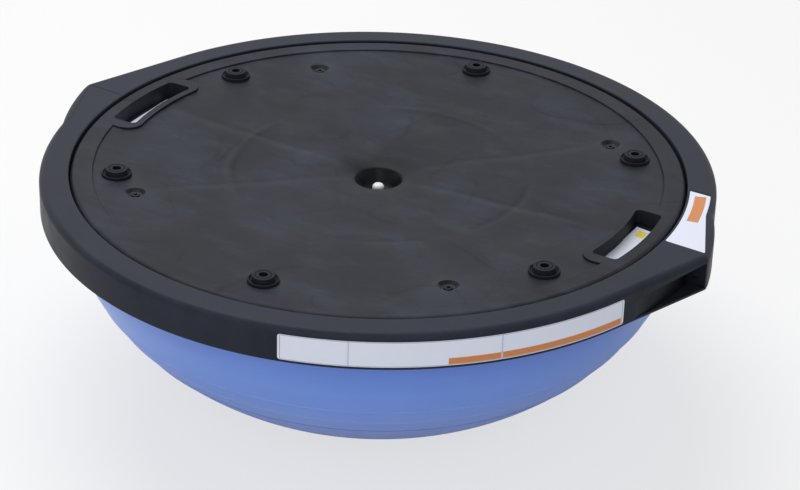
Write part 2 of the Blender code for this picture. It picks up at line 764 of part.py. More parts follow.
def build_valve(rubber, plug_finish):
    """The rubber seat in the plate's middle hole and the plug that is pulled out of it."""
    top = FUNNEL_FLOOR_Z + SEAT_GAP
    bottom = FUNNEL_UNDER_Z - SEAT_GAP
    lower_lip_z = bottom - 2 * GROMMET_FLANGE_T
    body_r = GROMMET_HOLE_R - SEAT_GAP
    seat = [
        (GROMMET_BORE_R, GROMMET_TOP_Z),
        (GROMMET_FLANGE_R - 0.0005, GROMMET_TOP_Z),
        (GROMMET_FLANGE_R, top),
        (body_r, top),
        (body_r, bottom),
        (GROMMET_FLANGE_R, bottom),
        (GROMMET_FLANGE_R - 0.0015, lower_lip_z),
        (GROMMET_BORE_R, lower_lip_z),
    ]
    add_object("valve_grommet", turned("valve_grommet", seat, FOOT_SIDES), rubber)
    tip_r = PLUG_STEM_R - PLUG_TIP_TAPER
    plug = [
        (0.0, PLUG_HEAD_H),
        (PLUG_HEAD_R - 0.0015, PLUG_HEAD_H),
        (PLUG_HEAD_R - 0.0004, PLUG_HEAD_H - 0.0004),
        (PLUG_HEAD_R, PLUG_HEAD_H - 0.0015),
        (PLUG_HEAD_R, 0.0),
        (PLUG_STEM_R, 0.0),
        (PLUG_STEM_R, -PLUG_STEM_L / 2),
        (tip_r, 0.001 - PLUG_STEM_L),
        (tip_r - 0.001, -PLUG_STEM_L),
        (0.0, -PLUG_STEM_L),
    ]
    made = add_object("valve_plug", turned("valve_plug", plug, PLUG_SIDES), plug_finish)
    made.location = (0.0, 0.0, PLUG_SEAT_Z)


def foot_mesh():
    """Rubber foot: a flange, a tapered boss and a bore that hides the screw."""
    bore = SHANK_HOLE_R
    profile = [
        (bore, 0.0),
        (FOOT_R, 0.0),
        (FOOT_R, FOOT_FLANGE_H - 0.0008),
        (FOOT_R - 0.0008, FOOT_FLANGE_H),
        (FOOT_BOSS_R, FOOT_FLANGE_H),
        (FOOT_TOP_R + 0.0003, FOOT_H - 0.0007),
        (FOOT_TOP_R - 0.0005, FOOT_H),
        (FOOT_BORE_R, FOOT_H),
        (FOOT_BORE_R, FOOT_WEB),
        (bore, FOOT_WEB),
    ]
    return turned("foot", profile, FOOT_SIDES)


def screw_mesh(length):
    """Pan head screw with its seat at height zero."""
    profile = [
        (0.0, SCREW_HEAD_H),
        (SCREW_HEAD_R - 0.0016, SCREW_HEAD_H),
        (SCREW_HEAD_R, SCREW_HEAD_H * 0.45),
        (SCREW_HEAD_R, 0.0),
        (SCREW_R, 0.0),
        (SCREW_R, -length),
        (0.0, -length),
    ]
    return turned("screw", profile, SCREW_SIDES)


def washer_mesh():
    profile = [(SHANK_HOLE_R, 0.0), (WASHER_R, 0.0), (WASHER_R, WASHER_T), (SHANK_HOLE_R, WASHER_T)]
    return turned("washer", profile, SCREW_SIDES)


def place_copies(name, mesh, finish, centres, z):
    for k, at in enumerate(centres):
        made = add_object(f"{name}_{k + 1}", mesh if k == 0 else mesh.copy(), finish)
        made.data.materials.clear()
        made.data.materials.append(finish)
        made.location = (at.x, at.y, z)


def build_fasteners(rubber, steel):
    foot_z = FOOT_SEAT_Z + SEAT_GAP
    washer_z = foot_z + FOOT_WEB + SEAT_GAP
    foot_head_z = washer_z + WASHER_T + SEAT_GAP
    plate_head_z = dish_z(PLATE_SCREW_CIRCLE_R) - DIMPLE_SINK + SEAT_GAP
    tip_z = BOSS_BOTTOM_Z + 0.001
    place_copies("foot", foot_mesh(), rubber, FEET, foot_z)
    place_copies("foot_washer", washer_mesh(), steel, FEET, washer_z)
    place_copies("foot_screw", screw_mesh(foot_head_z - tip_z), steel, FEET, foot_head_z)
    place_copies("plate_screw", screw_mesh(plate_head_z - tip_z), steel, PLATE_SCREWS, plate_head_z)


def main():
    clear_scene()
    black = material("black_moulded_plastic", (0.055, 0.057, 0.066), 0.55)
    ring_black = material("black_ring_plastic", (0.060, 0.062, 0.073), 0.5)
    blue = material("blue_vinyl", (0.10, 0.24, 0.62), 0.4)
    rubber = material("black_rubber", (0.045, 0.046, 0.052), 0.7)
    white = material("white_plug_plastic", (0.80, 0.80, 0.82), 0.45)
    steel = material("zinc_steel", (0.42, 0.42, 0.44), 0.35, 1.0)
    build_rim_ring(ring_black)
    build_base_plate(black)
    build_well_tubs(black)
    build_valve_cup(black)
    build_bladder(blue)
    build_valve(rubber, white)
    build_fasteners(rubber, steel)


main()
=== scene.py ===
"""Half ball balance trainer with its platform up.

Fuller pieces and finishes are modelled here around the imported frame.
"""

import math
import bmesh
import bpy
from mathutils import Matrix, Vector


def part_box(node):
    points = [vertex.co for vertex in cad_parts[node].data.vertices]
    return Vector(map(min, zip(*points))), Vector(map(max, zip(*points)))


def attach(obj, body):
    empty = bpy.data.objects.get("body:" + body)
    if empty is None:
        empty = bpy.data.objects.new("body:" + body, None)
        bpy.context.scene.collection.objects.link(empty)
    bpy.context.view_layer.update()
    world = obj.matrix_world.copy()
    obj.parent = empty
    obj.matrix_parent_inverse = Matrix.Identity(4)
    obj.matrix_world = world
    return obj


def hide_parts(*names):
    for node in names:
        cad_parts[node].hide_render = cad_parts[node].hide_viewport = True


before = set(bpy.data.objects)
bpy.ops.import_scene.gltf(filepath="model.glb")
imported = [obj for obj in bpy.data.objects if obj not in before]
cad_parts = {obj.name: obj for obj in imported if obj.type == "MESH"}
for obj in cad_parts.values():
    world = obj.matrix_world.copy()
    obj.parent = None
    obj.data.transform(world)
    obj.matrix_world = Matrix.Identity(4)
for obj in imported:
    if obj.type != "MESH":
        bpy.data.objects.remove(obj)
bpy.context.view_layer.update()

bl_info = {
    "name": "Half Ball Balance Trainer",
    "version": (1, 0, 0),
    "blender": (4, 5, 0),
    "location": "3D View > Sidebar > Trainer",
    "description": "Models and finishes a half ball balance trainer, piece by piece",
    "category": "Add Mesh",
}

RING_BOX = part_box("rim_ring")
PLATE_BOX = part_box("base_plate")
FOOT_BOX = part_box("foot_1")
PLUG_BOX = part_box("valve_plug")

# How near a vertex has to be to count as the one that is looked for, and what gets merged
TINY = 2e-5
MERGE = 2e-6

# A height above the floor that lies under all that is cut through, and heights where
# pieces meet inside
BELOW = 0.18
GUSSET_LOW = 0.2087
FLANGE_LOW = 0.2130
CLAMP_LOW = 0.2252
CLAMP_TOP = 0.2287

SCREW_HOLE = 0.0028
WELL_GAP = 0.003
STICKER_GAP = 0.00003
FULL_TURN = 360

# Direction in plan in which the photograph looks, for shade on the far sides of hollows
LOOK_X, LOOK_Y = -0.49, 0.87


def middle(node):
    """Middle of a node's box in plan, at the height of its underside."""
    low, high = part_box(node)
    return Vector(((low.x + high.x) / 2, (low.y + high.y) / 2, low.z))


FEET = [middle(f"foot_{k + 1}") for k in range(6)]
PLATE_SCREWS = [middle(f"plate_screw_{k + 1}") for k in range(4)]


# Sizes and colours that a user may change

def length(name, description, default):
    return bpy.props.FloatProperty(
        name=name, description=description, default=default, min=0.0, precision=4, unit="LENGTH"
    )


def degrees(name, description, default):
    return bpy.props.FloatProperty(
        name=name, description=description, default=math.radians(default), subtype="ANGLE"
    )


def count(name, description, default):
    return bpy.props.IntProperty(name=name, description=description, default=default, min=1)


def colour(name, description, default):
    return bpy.props.FloatVectorProperty(
        name=name,
        description=description,
        default=default,
        size=3,
        min=0.0,
        max=1.0,
        subtype="COLOR",
    )


class TRAINER_PG_ring(bpy.types.PropertyGroup):
    """Sizes of the rim ring and its ears."""

    radius: length("Radius", "Outer radius of the round part", RING_BOX[1].y)
    top: length("Top", "Height of its flat top above the floor", RING_BOX[1].z)
    band: length("Band", "Width of the flat top", 0.028)
    wall: length("Wall", "Thickness of the skirt and the top", 0.0035)
    skirt: length("Skirt", "Height of the skirt", 0.035)
    fillet: length("Fillet", "Round between the top and the skirt", 0.0065)
    lip: length("Lip", "Round of the inner edge", 0.0014)
    flange_radius: length("Flange radius", "Inner radius of the flange", 0.226)
    flange_top: length("Flange top", "Height of the flange's upper face", 0.2249)
    flange: length("Flange", "Thickness of the flange and the hoops", 0.0035)
    rib: length("Rib", "Thickness of a rib", 0.003)
    ear_angle: degrees("Ear angle", "Where an ear's straight side leaves the circle", 20)
    back_angle: degrees("Back angle", "Where an ear's back meets the circle", 15)
    back_bulge: length("Back bulge", "How far an ear's back swells", 0.003)
    tip_round: length("Tip round", "Round of an ear's tip", 0.003)
    recess: length("Recess", "Depth of the sticker's recess on an ear", 0.00024)
    eye: length("Eye", "Radius of the small hole in an ear's pocket", 0.0032)


class TRAINER_PG_plate(bpy.types.PropertyGroup):
    """Sizes of the base plate, its wells and its funnel."""

    radius: length("Radius", "Outer radius of the plate", PLATE_BOX[1].x)
    drop: length("Drop", "How far its band lies under the ring's top", 0.0008)
    thickness: length("Thickness", "Thickness of the floor", 0.004)
    edge: length("Edge", "Round of its outer edge", 0.0052)
    band: length("Band", "Width of the raised outer band", 0.021)
    step: length("Step", "How far the floor lies under the band", 0.0015)
    slope: degrees("Slope", "Slope of the floor to the middle", 2)
    groove: length("Groove", "Depth of the groove at the foot of the band", 0.00025)
    slot_edge: length("Slot edge", "From the plate's edge to a hand slot", 0.0148)
    slot_width: length("Slot width", "Width of a hand slot", 0.0257)
    slot_half: length("Half slot", "Half of a hand slot's length", 0.0505)
    slot_corner: length("Slot corner", "Round of a hand slot's corners", 0.005)
    well_in: length("Well inside", "Depth of a well on its inner side", 0.0155)
    well_out: length("Well outside", "Depth of a well on its outer side", 0.0183)
    well_wall: length("Well wall", "Thickness of a well's walls", 0.003)
    border_in: length("Border inside", "Width of the border on the inner side of a slot", 0.0067)
    border_end: length("Border end", "Width of the border at the ends of a slot", 0.0135)
    border_corner: length("Border corner", "Round of the border's corners", 0.016)
    dimple: length("Dimple", "Radius of the dimple round a screw", 0.0102)
    dimple_depth: length("Dimple depth", "Depth of the dimple's cone", 0.003)


class TRAINER_PG_dome(bpy.types.PropertyGroup):
    """Sizes of the blue dome."""

    radius: length("Radius", "Radius where the dome is widest", 0.303)
    depth: length("Depth", "From the widest line to the lowest point of the whole ellipse", 0.231)
    middle: length("Middle", "Height of the widest line above the floor", 0.228)
    wall: length("Wall", "Thickness of the skin", 0.0035)
    bead: length("Bead", "Height of the thin moulded rings", 0.0007)
    bead_width: length("Bead width", "Half the width of a thin moulded ring", 0.0012)
    rings: count("Rings", "How many thin rings are moulded round the lower half", 3)
    first_ring: length("First ring", "Height of the topmost thin ring above the floor", 0.130)
    ring_step: length("Ring step", "Height from one thin ring to the next", 0.019)


class TRAINER_PG_small(bpy.types.PropertyGroup):
    """Sizes of the feet, screws and plug."""

    foot: length("Foot", "Radius of a foot", 0.0144)
    foot_top: length("Foot top", "Radius of a foot's top", 0.0103)
    screw_head: length("Screw head", "Radius of a screw's head", 0.0042)
    screw_head_height: length("Head height", "Height of a screw's head", 0.0026)
    screw: length("Screw", "Radius of a screw's shank", 0.0025)
    plug_head: length("Plug head", "Radius of the plug's head", 0.0058)
    plug_head_height: length("Plug height", "Height of the plug's head", 0.0083)
    sticker: length("Sticker", "Thickness of a sticker", 0.00015)


class TRAINER_PG_colours(bpy.types.PropertyGroup):
    """Colours of the finishes."""

    ring: colour("Ring", "Black plastic of the rim ring", (0.020, 0.023, 0.035))
    plate: colour("Plate", "Black plastic of the base plate", (0.020, 0.022, 0.031))
    vinyl: colour("Vinyl", "Blue vinyl of the dome", (0.157, 0.300, 0.800))
    rubber: colour("Rubber", "Black rubber of feet and valve seat", (0.0165, 0.0172, 0.0240))
    plug: colour("Plug", "White plastic of the plug", (0.80, 0.80, 0.84))
    steel: colour("Steel", "Blackened steel of the screws", (0.014, 0.014, 0.018))
    paper: colour("Sticker", "White of the stickers", (0.72, 0.77, 0.88))
    orange: colour("Orange", "Orange panels of the stickers", (0.60, 0.21, 0.055))
    yellow: colour("Yellow", "Yellow panel of the sticker in a well", (0.75, 0.62, 0.08))
    ink: colour("Rule", "Thin rules between a sticker's panels", (0.16, 0.17, 0.33))


def sizes(group):
    return getattr(bpy.context.scene, "trainer_" + group)


# Modelling as by hand: one vertex is drawn out into a section, which is then spun or raised

def loose():
    """Leaves edit mode and deselects everything, the frame's nodes too."""
    if bpy.context.mode != "OBJECT":
        bpy.ops.object.mode_set(mode="OBJECT")
    bpy.ops.object.select_all(action="DESELECT")


def hold(piece):
    loose()
    piece.select_set(True)
    bpy.context.view_layer.objects.active = piece


def edit(piece):
    hold(piece)
    bpy.ops.object.mode_set(mode="EDIT")


def choose(kind, test):
    """In edit mode, selects the vertices, edges or faces that pass a test, and nothing else."""
    bpy.ops.mesh.select_mode(type=kind)
    bpy.ops.mesh.select_all(action="DESELECT")
    mesh = bpy.context.edit_object.data
    shape = bmesh.from_edit_mesh(mesh)
    items = {"VERT": shape.verts, "EDGE": shape.edges, "FACE": shape.faces}[kind]
    found = [item for item in items if test(item)]
    if not found:
        raise RuntimeError(f"nothing to select on {bpy.context.edit_object.name}")
    for item in found:
        item.select_set(True)
    bmesh.update_edit_mesh(mesh, loop_triangles=False, destructive=False)


def draw(name, points):
    """A line through points, drawn by extruding one vertex from point to point."""
    points = [Vector(point) for point in points]
    loose()
    bpy.ops.mesh.primitive_plane_add(size=0.01, location=points[0])
    piece = bpy.context.active_object
    piece.name = name
    piece.data.name = name
    bpy.ops.object.transform_apply(location=True, rotation=False, scale=False)
    bpy.ops.object.mode_set(mode="EDIT")
    bpy.ops.mesh.select_mode(type="VERT")
    bpy.ops.mesh.select_all(action="SELECT")
    bpy.ops.mesh.merge(type="CENTER")
    for before, after in zip(points, points[1:]):
        bpy.ops.mesh.extrude_region_move(TRANSFORM_OT_translate={"value": after - before})
    return piece


def close_line(points):
    """Joins the first and the last point of the line that is being drawn."""
    ends = (Vector(points[0]), Vector(points[-1]))
    choose("VERT", lambda v: min((v.co - end).length for end in ends) < TINY)
    bpy.ops.mesh.edge_face_add()


def tidy_mesh():
    """Merges doubles and turns the faces outward, in edit mode."""
    bpy.ops.mesh.select_all(action="SELECT")
    bpy.ops.mesh.remove_doubles(threshold=MERGE)
    bpy.ops.mesh.normals_make_consistent(inside=False)


def spin_up(name, corners, *runs):
    """A section of (radius, height, round, parts) corners, spun about the upright axis.

    The runs are (degrees, steps) pairs that add up to a full turn. A section that starts
    and ends on the axis stays open there.
    """
    points = [(corner[0], 0.0, corner[1]) for corner in corners]
    piece = draw(name, points)
    if max(points[0][0], points[-1][0]) > TINY:
        close_line(points)
    for corner in corners:
        if len(corner) > 2:
            at = Vector((corner[0], 0.0, corner[1]))
            choose("VERT", lambda v: (v.co - at).length < TINY)
            bpy.ops.mesh.bevel(offset=corner[2], segments=corner[3], affect="VERTICES")
    bpy.ops.mesh.select_all(action="SELECT")
    for angle, steps in runs:
        turn = math.radians(angle)
        bpy.ops.mesh.spin(steps=steps, angle=turn, center=(0, 0, 0), axis=(0, 0, -1))
    tidy_mesh()
    bpy.ops.object.mode_set(mode="OBJECT")
    return piece


def raised(name, points, move):
    """A closed line through points, filled and drawn out into a solid."""
    piece = draw(name, points)
    close_line(points)
    bpy.ops.mesh.select_all(action="SELECT")
    bpy.ops.mesh.edge_face_add()
    bpy.ops.mesh.select_all(action="SELECT")
    bpy.ops.mesh.extrude_region_move(TRANSFORM_OT_translate={"value": move})
    tidy_mesh()
    bpy.ops.object.mode_set(mode="OBJECT")
    return piece


def slab(name, outline, low, high):
    """An outline of points in plan, raised from one height to another."""
    return raised(name, [(p[0], p[1], low) for p in outline], (0, 0, high - low))


def upright_slab(name, section, thickness, centre=0.0):
    """A section of (radius, height) points in an upright plane, with an even thickness."""
    points = [(x, centre - thickness / 2, z) for x, z in section]
    return raised(name, points, (0, thickness, 0))


def slice_below(piece, at, normal):
    """Cuts a closed piece with a plane and keeps the side that the normal points to."""
    edit(piece)
    bpy.ops.mesh.select_all(action="SELECT")
    bpy.ops.mesh.bisect(plane_co=at, plane_no=normal, use_fill=True, clear_inner=True)
    tidy_mesh()
    bpy.ops.object.mode_set(mode="OBJECT")


def turn_piece(piece, turn):
    """Turns a piece in degrees about the upright axis and leaves it at the origin, unturned."""
    hold(piece)
    if turn:
        bpy.ops.transform.rotate(
            value=-math.radians(turn), orient_axis="Z", center_override=(0, 0, 0)
        )
    bpy.ops.object.transform_apply(location=True, rotation=True, scale=True)
    return piece


def copy_of(piece, name, turn=0.0, move=(0, 0, 0)):
    """A copy with its own mesh, moved and then turned in degrees about the upright axis."""
    hold(piece)
    bpy.ops.object.duplicate()
    made = bpy.context.active_object
    made.name = name
    made.data.name = name
    if any(move):
        bpy.ops.transform.translate(value=move)
    return turn_piece(made, turn)


def together(pieces):
    """Joins pieces that stand clear of each other into one."""
    hold(pieces[0])
    for piece in pieces[1:]:
        piece.select_set(True)
    bpy.ops.object.join()
    return bpy.context.active_object


def pair(piece):
    """The piece and its twin half a turn away, as one."""
    return together([piece, copy_of(piece, piece.name + "_twin", 180)])


def repeated(first, places=None, turns=(0,)):
    """Copies of a piece at places or turns, joined into one. The piece itself goes."""
    moves = [(at.x, at.y, 0) for at in places] if places else [(0, 0, 0)]
    made = [copy_of(first, first.name, turn, move) for move in moves for turn in turns]
    bpy.data.objects.remove(first, do_unlink=True)
    return together(made)


def cut(piece, tool, operation="DIFFERENCE"):
    """Takes a tool away from a piece, or adds it, and removes the tool."""
    hold(piece)
    step = piece.modifiers.new("cut", "BOOLEAN")
    step.operation = operation
    step.solver = "EXACT"
    step.object = tool
    bpy.ops.object.modifier_apply(modifier=step.name)
    bpy.data.objects.remove(tool, do_unlink=True)
    if not piece.data.polygons:
        raise RuntimeError(f"{piece.name} was lost in a cut")


def soften(piece, test, amount, parts=2):
    """Bevels the edges that pass a test."""
    edit(piece)
    choose("EDGE", test)
    bpy.ops.mesh.bevel(offset=amount, segments=parts, affect="EDGES", clamp_overlap=True)
    bpy.ops.object.mode_set(mode="OBJECT")


def finish(piece, material, nodes=(), angle=30, body="platform"):
    """Shades a piece, gives it its finish and hangs it on its body."""
    edit(piece)
    bpy.ops.mesh.select_all(action="SELECT")
    bpy.ops.mesh.remove_doubles(threshold=MERGE)
    bpy.ops.mesh.dissolve_degenerate(threshold=MERGE)
    hold(piece)
    bpy.ops.object.shade_smooth_by_angle(angle=math.radians(angle))
    step = piece.modifiers.new("even", "WEIGHTED_NORMAL")
    step.keep_sharp = True
    bpy.ops.object.modifier_apply(modifier=step.name)
    piece.data.materials.clear()
    piece.data.materials.append(material)
    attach(piece, body)
    if nodes:
        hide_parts(*nodes)
    return piece


# Points in plan

def polar(radius, angle, z=0.0):
    """A point from its radius and its degrees round from +X."""
    turn = math.radians(angle)
    return Vector((radius * math.cos(turn), radius * math.sin(turn), z))


def slot_outline(inner, outer, half, corner, parts=6, rows=16):
    """A slot between two arcs about the middle, with straight ends and round corners, on +X."""
    def on_arc(radius, y):
        return math.sqrt(radius * radius - y * y)

    side = half - corner
    inside = on_arc(inner, side) + corner
    outside = on_arc(outer, side) - corner
    top = []
    for x, start in ((inside, 180), (outside, 90)):
        for k in range(parts + 1):
            turn = math.radians(start - 90 * k / parts)
            top.append((x + corner * math.cos(turn), side + corner * math.sin(turn)))
    falling = [side - 2 * side * k / rows for k in range(1, rows)]
    points = top + [(on_arc(outer, y), y) for y in falling]
    points += [(x, -y) for x, y in reversed(top)]
    return points + [(on_arc(inner, -y), -y) for y in falling]


def slot_radii(plate):
    """Inner and outer radius of the two hand slots."""
    outer = plate.radius - plate.slot_edge
    return outer - plate.slot_width, outer


def slot_ends_x(plate):
    """How far out the inner corners of a hand slot lie."""
    return math.sqrt(slot_radii(plate)[0] ** 2 - (plate.slot_half - plate.slot_corner) ** 2)


def well_window(plate):
    """Outline of the opening that lets a well through the ring's flange and the dome's lip."""
    inner, outer = slot_radii(plate)
    wide = plate.well_wall + WELL_GAP
    return slot_outline(
        inner - wide, outer + wide, plate.slot_half + wide, plate.slot_corner + wide
    )


def around(start, end, step):
    """Degrees from start to end in even steps of about the given size."""
    parts = max(1, round(abs(end - start) / step))
    return [start + (end - start) * k / parts for k in range(parts + 1)]


# Shader maths as Python sums

class Wire:
    """A socket of a shader that can be used in sums. Its node method adds any other node."""

    def __init__(self, tree, socket=None):
        self.tree = tree
        self.socket = socket

    def feed(self, target, value):
        if isinstance(value, Wire):
            self.tree.links.new(value.socket, target)
        else:
            target.default_value = value

    def node(self, kind, settings=None, values=None, output=0):
        """Adds a node. Its settings are set first, then the values or links of its sockets."""
        made = self.tree.nodes.new("ShaderNode" + kind)
        for name, value in (settings or {}).items():
            setattr(made, name, value)
        for name, value in (values or {}).items():
            self.feed(made.inputs[name], value)
        return Wire(self.tree, made.outputs[output])

    def maths(self, operation, *terms):
        return self.node("Math", {"operation": operation}, dict(enumerate(terms)))

    def __add__(self, other):
        return self.maths("ADD", self, other)

    def __sub__(self, other):
        return self.maths("SUBTRACT", self, other)

    def __rsub__(self, other):
        return self.maths("SUBTRACT", other, self)

    def __mul__(self, other):
        return self.maths("MULTIPLY", self, other)

    def __truediv__(self, other):
        return self.maths("DIVIDE", self, other)

    def __rtruediv__(self, other):
        return self.maths("DIVIDE", other, self)

    def __pow__(self, other):
        return self.maths("POWER", self, other)

    __radd__ = __add__
    __rmul__ = __mul__

    def root(self):
        return self.maths("SQRT", self)

    def sign(self):
        return self.maths("SIGN", self)

    def most(self, other):
        return self.maths("MAXIMUM", self, other)

    def ramp(self, low, high, start=0.0, end=1.0):
        """Goes smoothly from start to end as the value goes from low to high."""
        values = {"Value": self, "From Min": low, "From Max": high, "To Min": start, "To Max": end}
        return self.node("MapRange", {"interpolation_type": "SMOOTHSTEP"}, values)

    def within(self, low, high, soft):
        """1 between two values and 0 outside them, with soft edges."""
        return self.ramp(low - soft, low + soft) * self.ramp(high + soft, high - soft)

    def bell(self, width):
        """1 at zero, falling off smoothly over a width."""
        scaled = self / width
        return 1 / (1 + scaled * scaled)

    def noise(self, scale, detail=2.0, roughness=0.5, stretch=None):
        """Noise from 0 to 1 on a point. The scale is in lumps to the metre."""
        point = self
        if stretch:
            point = self.node("Mapping", None, {"Vector": self, "Scale": stretch})
        values = {"Vector": point, "Scale": scale, "Detail": detail, "Roughness": roughness}
        return self.node("TexNoise", None, values)

    def tint(self, shade):
        """A colour made lighter or darker by this number."""
        return self.node("VectorMath", {"operation": "SCALE"}, {0: shade, "Scale": self})

    def between(self, first, second):
        """A colour between two, with this number as the share of the second."""
        return self.node("Mix", {"data_type": "RGBA"}, {0: self, 6: first, 7: second}, output=2)

    def parts(self):
        """The three numbers of a point."""
        made = self.node("SeparateXYZ", None, {"Vector": self})
        outputs = made.socket.node.outputs
        return [Wire(self.tree, outputs[k]) for k in range(3)]

    def bump(self, distance, strength=1.0):
        values = {"Height": self, "Distance": distance, "Strength": strength}
        return self.node("Bump", None, values)


def reach(x, y):
    """How far a point lies from the upright axis."""
    return (x * x + y * y).root()


def bearing(x, y):
    """The angle of a point round the upright axis, in radians."""
    return x.maths("ARCTAN2", y, x)


def solid(shade):
    return (*shade, 1.0)


def begin(name, settings):
    """A new material with constant settings, its point in space and a way to feed its shader."""
    made = bpy.data.materials.new(name)
    made.use_nodes = True
    tree = made.node_tree
    shader = tree.nodes["Principled BSDF"]
    for socket, value in settings.items():
        shader.inputs[socket].default_value = value
    art = Wire(tree)
    point = art.node("TexCoord", output="Object")

    def feed(socket, value):
        art.feed(shader.inputs[socket], value)

    return made, point, feed


def moulded_plastic(name, shade, extra=None, roughness=0.42):
    """Satin black plastic: a fine moulded grain, soft clouds of sheen and faint scuffs."""
    made, point, feed = begin(name, {"Specular IOR Level": 0.10})
    clouds = point.noise(11, 3, 0.55)
    patches = point.noise(48, 3, 0.6)
    grain = point.noise(1400, 1)
    scuffs = point.noise(60, 4, 0.7, stretch=(1.0, 3.5, 1.0)).ramp(0.58, 0.80)
    tone = 0.30 + clouds * 0.80 + patches * 0.60
    gloss = roughness + (clouds - 0.5) * 0.30 + (patches - 0.5) * 0.20 + scuffs * 0.05
    height = grain * 0.5 + patches * 0.35
    # An extra adds a part's own marks, and painted shade where the part has it, to tone, gloss and
    # bumps
    if extra:
        more_tone, more_gloss, more_height = extra(point)
        tone = tone * more_tone
        gloss = gloss + more_gloss
        height = height + more_height
    feed("Base Color", (tone + scuffs * 0.35).tint(shade))
    feed("Roughness", gloss)
    feed("Normal", height.bump(0.00015, 0.7))
    return made


def ring_shade_and_wear(point):
    """Painted shade inside the ears' pockets, and a faint dusty line along the skirt."""
    ring = sizes("ring")
    x, y, z = point.parts()
    radius = reach(x, y)
    side = y * x.sign()
    below = z.ramp(ring.top - 0.0065, ring.top - 0.0085)
    back = radius.ramp(ring.radius + 0.0020, ring.radius + 0.0014)
    back = back * radius.ramp(ring.radius + 0.0002, ring.radius + 0.0005)
    back = back * side.ramp(-0.0895, -0.066) * side.ramp(-0.0015, -0.0025)
    end = side.within(-0.0029, -0.0021, 0.0002)
    end = end * radius.ramp(ring.radius + 0.0004, ring.radius + 0.0008)
    # Painted shade: the insides of the ears' pockets are darkened in the colour
    painted_pocket_shade = below * back.most(end * 0.75)
    foot = ring.top - ring.skirt
    wear = z.within(foot, foot + 0.0012, 0.0006) * point.noise(30, 3).ramp(0.4, 0.6)
    return (1 + wear * 0.35) * (1 - painted_pocket_shade * 0.72), wear * 0.04, wear * 0.2


def sink_marks(point, x, y, radius):
    """Soft lines over the ribs below the plate, and a round one over its moulded ring."""
    lines = None
    for angle, share in ((0, 1.0), (45, 0.8), (135, 0.15)):
        turn = math.radians(angle)
        across = (x * math.sin(turn) - y * math.cos(turn)) + (point.noise(14, 2) - 0.5) * 0.012
        mark = (across.bell(0.0050) - (across + 0.0075).bell(0.0030) * 0.6) * share
        lines = mark if lines is None else lines + mark
    lines = lines * radius.within(0.045, 0.215, 0.030) * (0.20 + point.noise(22, 3) * 0.9)
    from_ring = radius - 0.147 + (point.noise(7, 2) - 0.5) * 0.016
    ring = from_ring.bell(0.0030) - (from_ring + 0.006).bell(0.0030)
    return lines + ring * point.noise(11, 2).ramp(0.35, 0.6) * 0.5


def dimple_marks(point, x, y):
    """A pale halo round each dimple, and shade on the far side of its bowl."""
    place = PLATE_SCREWS[0].to_2d().length / math.sqrt(2)
    off_x, off_y = x - x.sign() * place, y - y.sign() * place
    near = reach(off_x, off_y)
    far_side = (off_y * LOOK_Y + off_x * LOOK_X).ramp(-0.003, 0.004)
    halo = near.bell(0.018) * (0.6 + point.noise(60, 3) * 0.8)
    return halo, near.within(0.0062, 0.0101, 0.0004) * far_side


def foot_halo(x, y, radius):
    """1 at each foot, falling off round it."""
    first = math.atan2(FEET[0].y, FEET[0].x)
    wrapped = x.maths("WRAP", bearing(x, y) - first, math.pi / 6, -math.pi / 6)
    place = FEET[0].to_2d().length
    return ((wrapped * place) ** 2 + (radius - place) ** 2).root().bell(0.015)


def flow_line(point, scale, detail, level, width):
    """A thin winding line where the melt met: one level of a slow noise."""
    return ((point.noise(scale, detail, 0.4) - level) / width).bell(1.0)


def plate_marks_and_shade(point):
    """Sink marks, flow lines, smudges, halos round the dimples and the feet, and painted shade in
    the dimples' bowls and round and inside the funnel.
    """
    x, y, _ = point.parts()
    radius = reach(x, y)
    lines = sink_marks(point, x, y, radius)
    halo, painted_bowl_shade = dimple_marks(point, x, y)
    foot = foot_halo(x, y, radius)
    away = ((y * LOOK_Y + x * LOOK_X) / radius).ramp(0.2, 1.0)
    # Painted shade round the funnel, strongest on its far side
    painted_funnel_shade = radius.ramp(0.10, 0.025) * (0.5 + away)
    inside_funnel = radius.ramp(0.0245, 0.0225)
    smudge = point.noise(9, 5, 0.62).ramp(0.42, 0.68)
    wipe = point.noise(18, 5, 0.7, stretch=(1.0, 2.2, 1.0)).ramp(0.46, 0.70)
    flow = flow_line(point, 4.5, 2, 0.52, 0.0045) + flow_line(point, 7.5, 1, 0.47, 0.0040)
    flow = flow * point.noise(13, 2).ramp(0.45, 0.60)
    tone = 0.66 + lines * 0.60 + halo * 0.38 + foot * 0.12 + smudge * 0.62 + wipe * 0.52
    tone = tone - painted_funnel_shade * 0.20 - flow * 0.28
    # Painted shade on the far walls of the dimples' bowls and inside the funnel
    tone = tone * (1 - painted_bowl_shade * 0.80) * (1 - inside_funnel * 0.45)
    gloss = smudge * 0.07 - halo * 0.06 - lines * 0.04 + wipe * 0.05 - inside_funnel * 0.14
    return tone, gloss, flow * 0.5 - lines


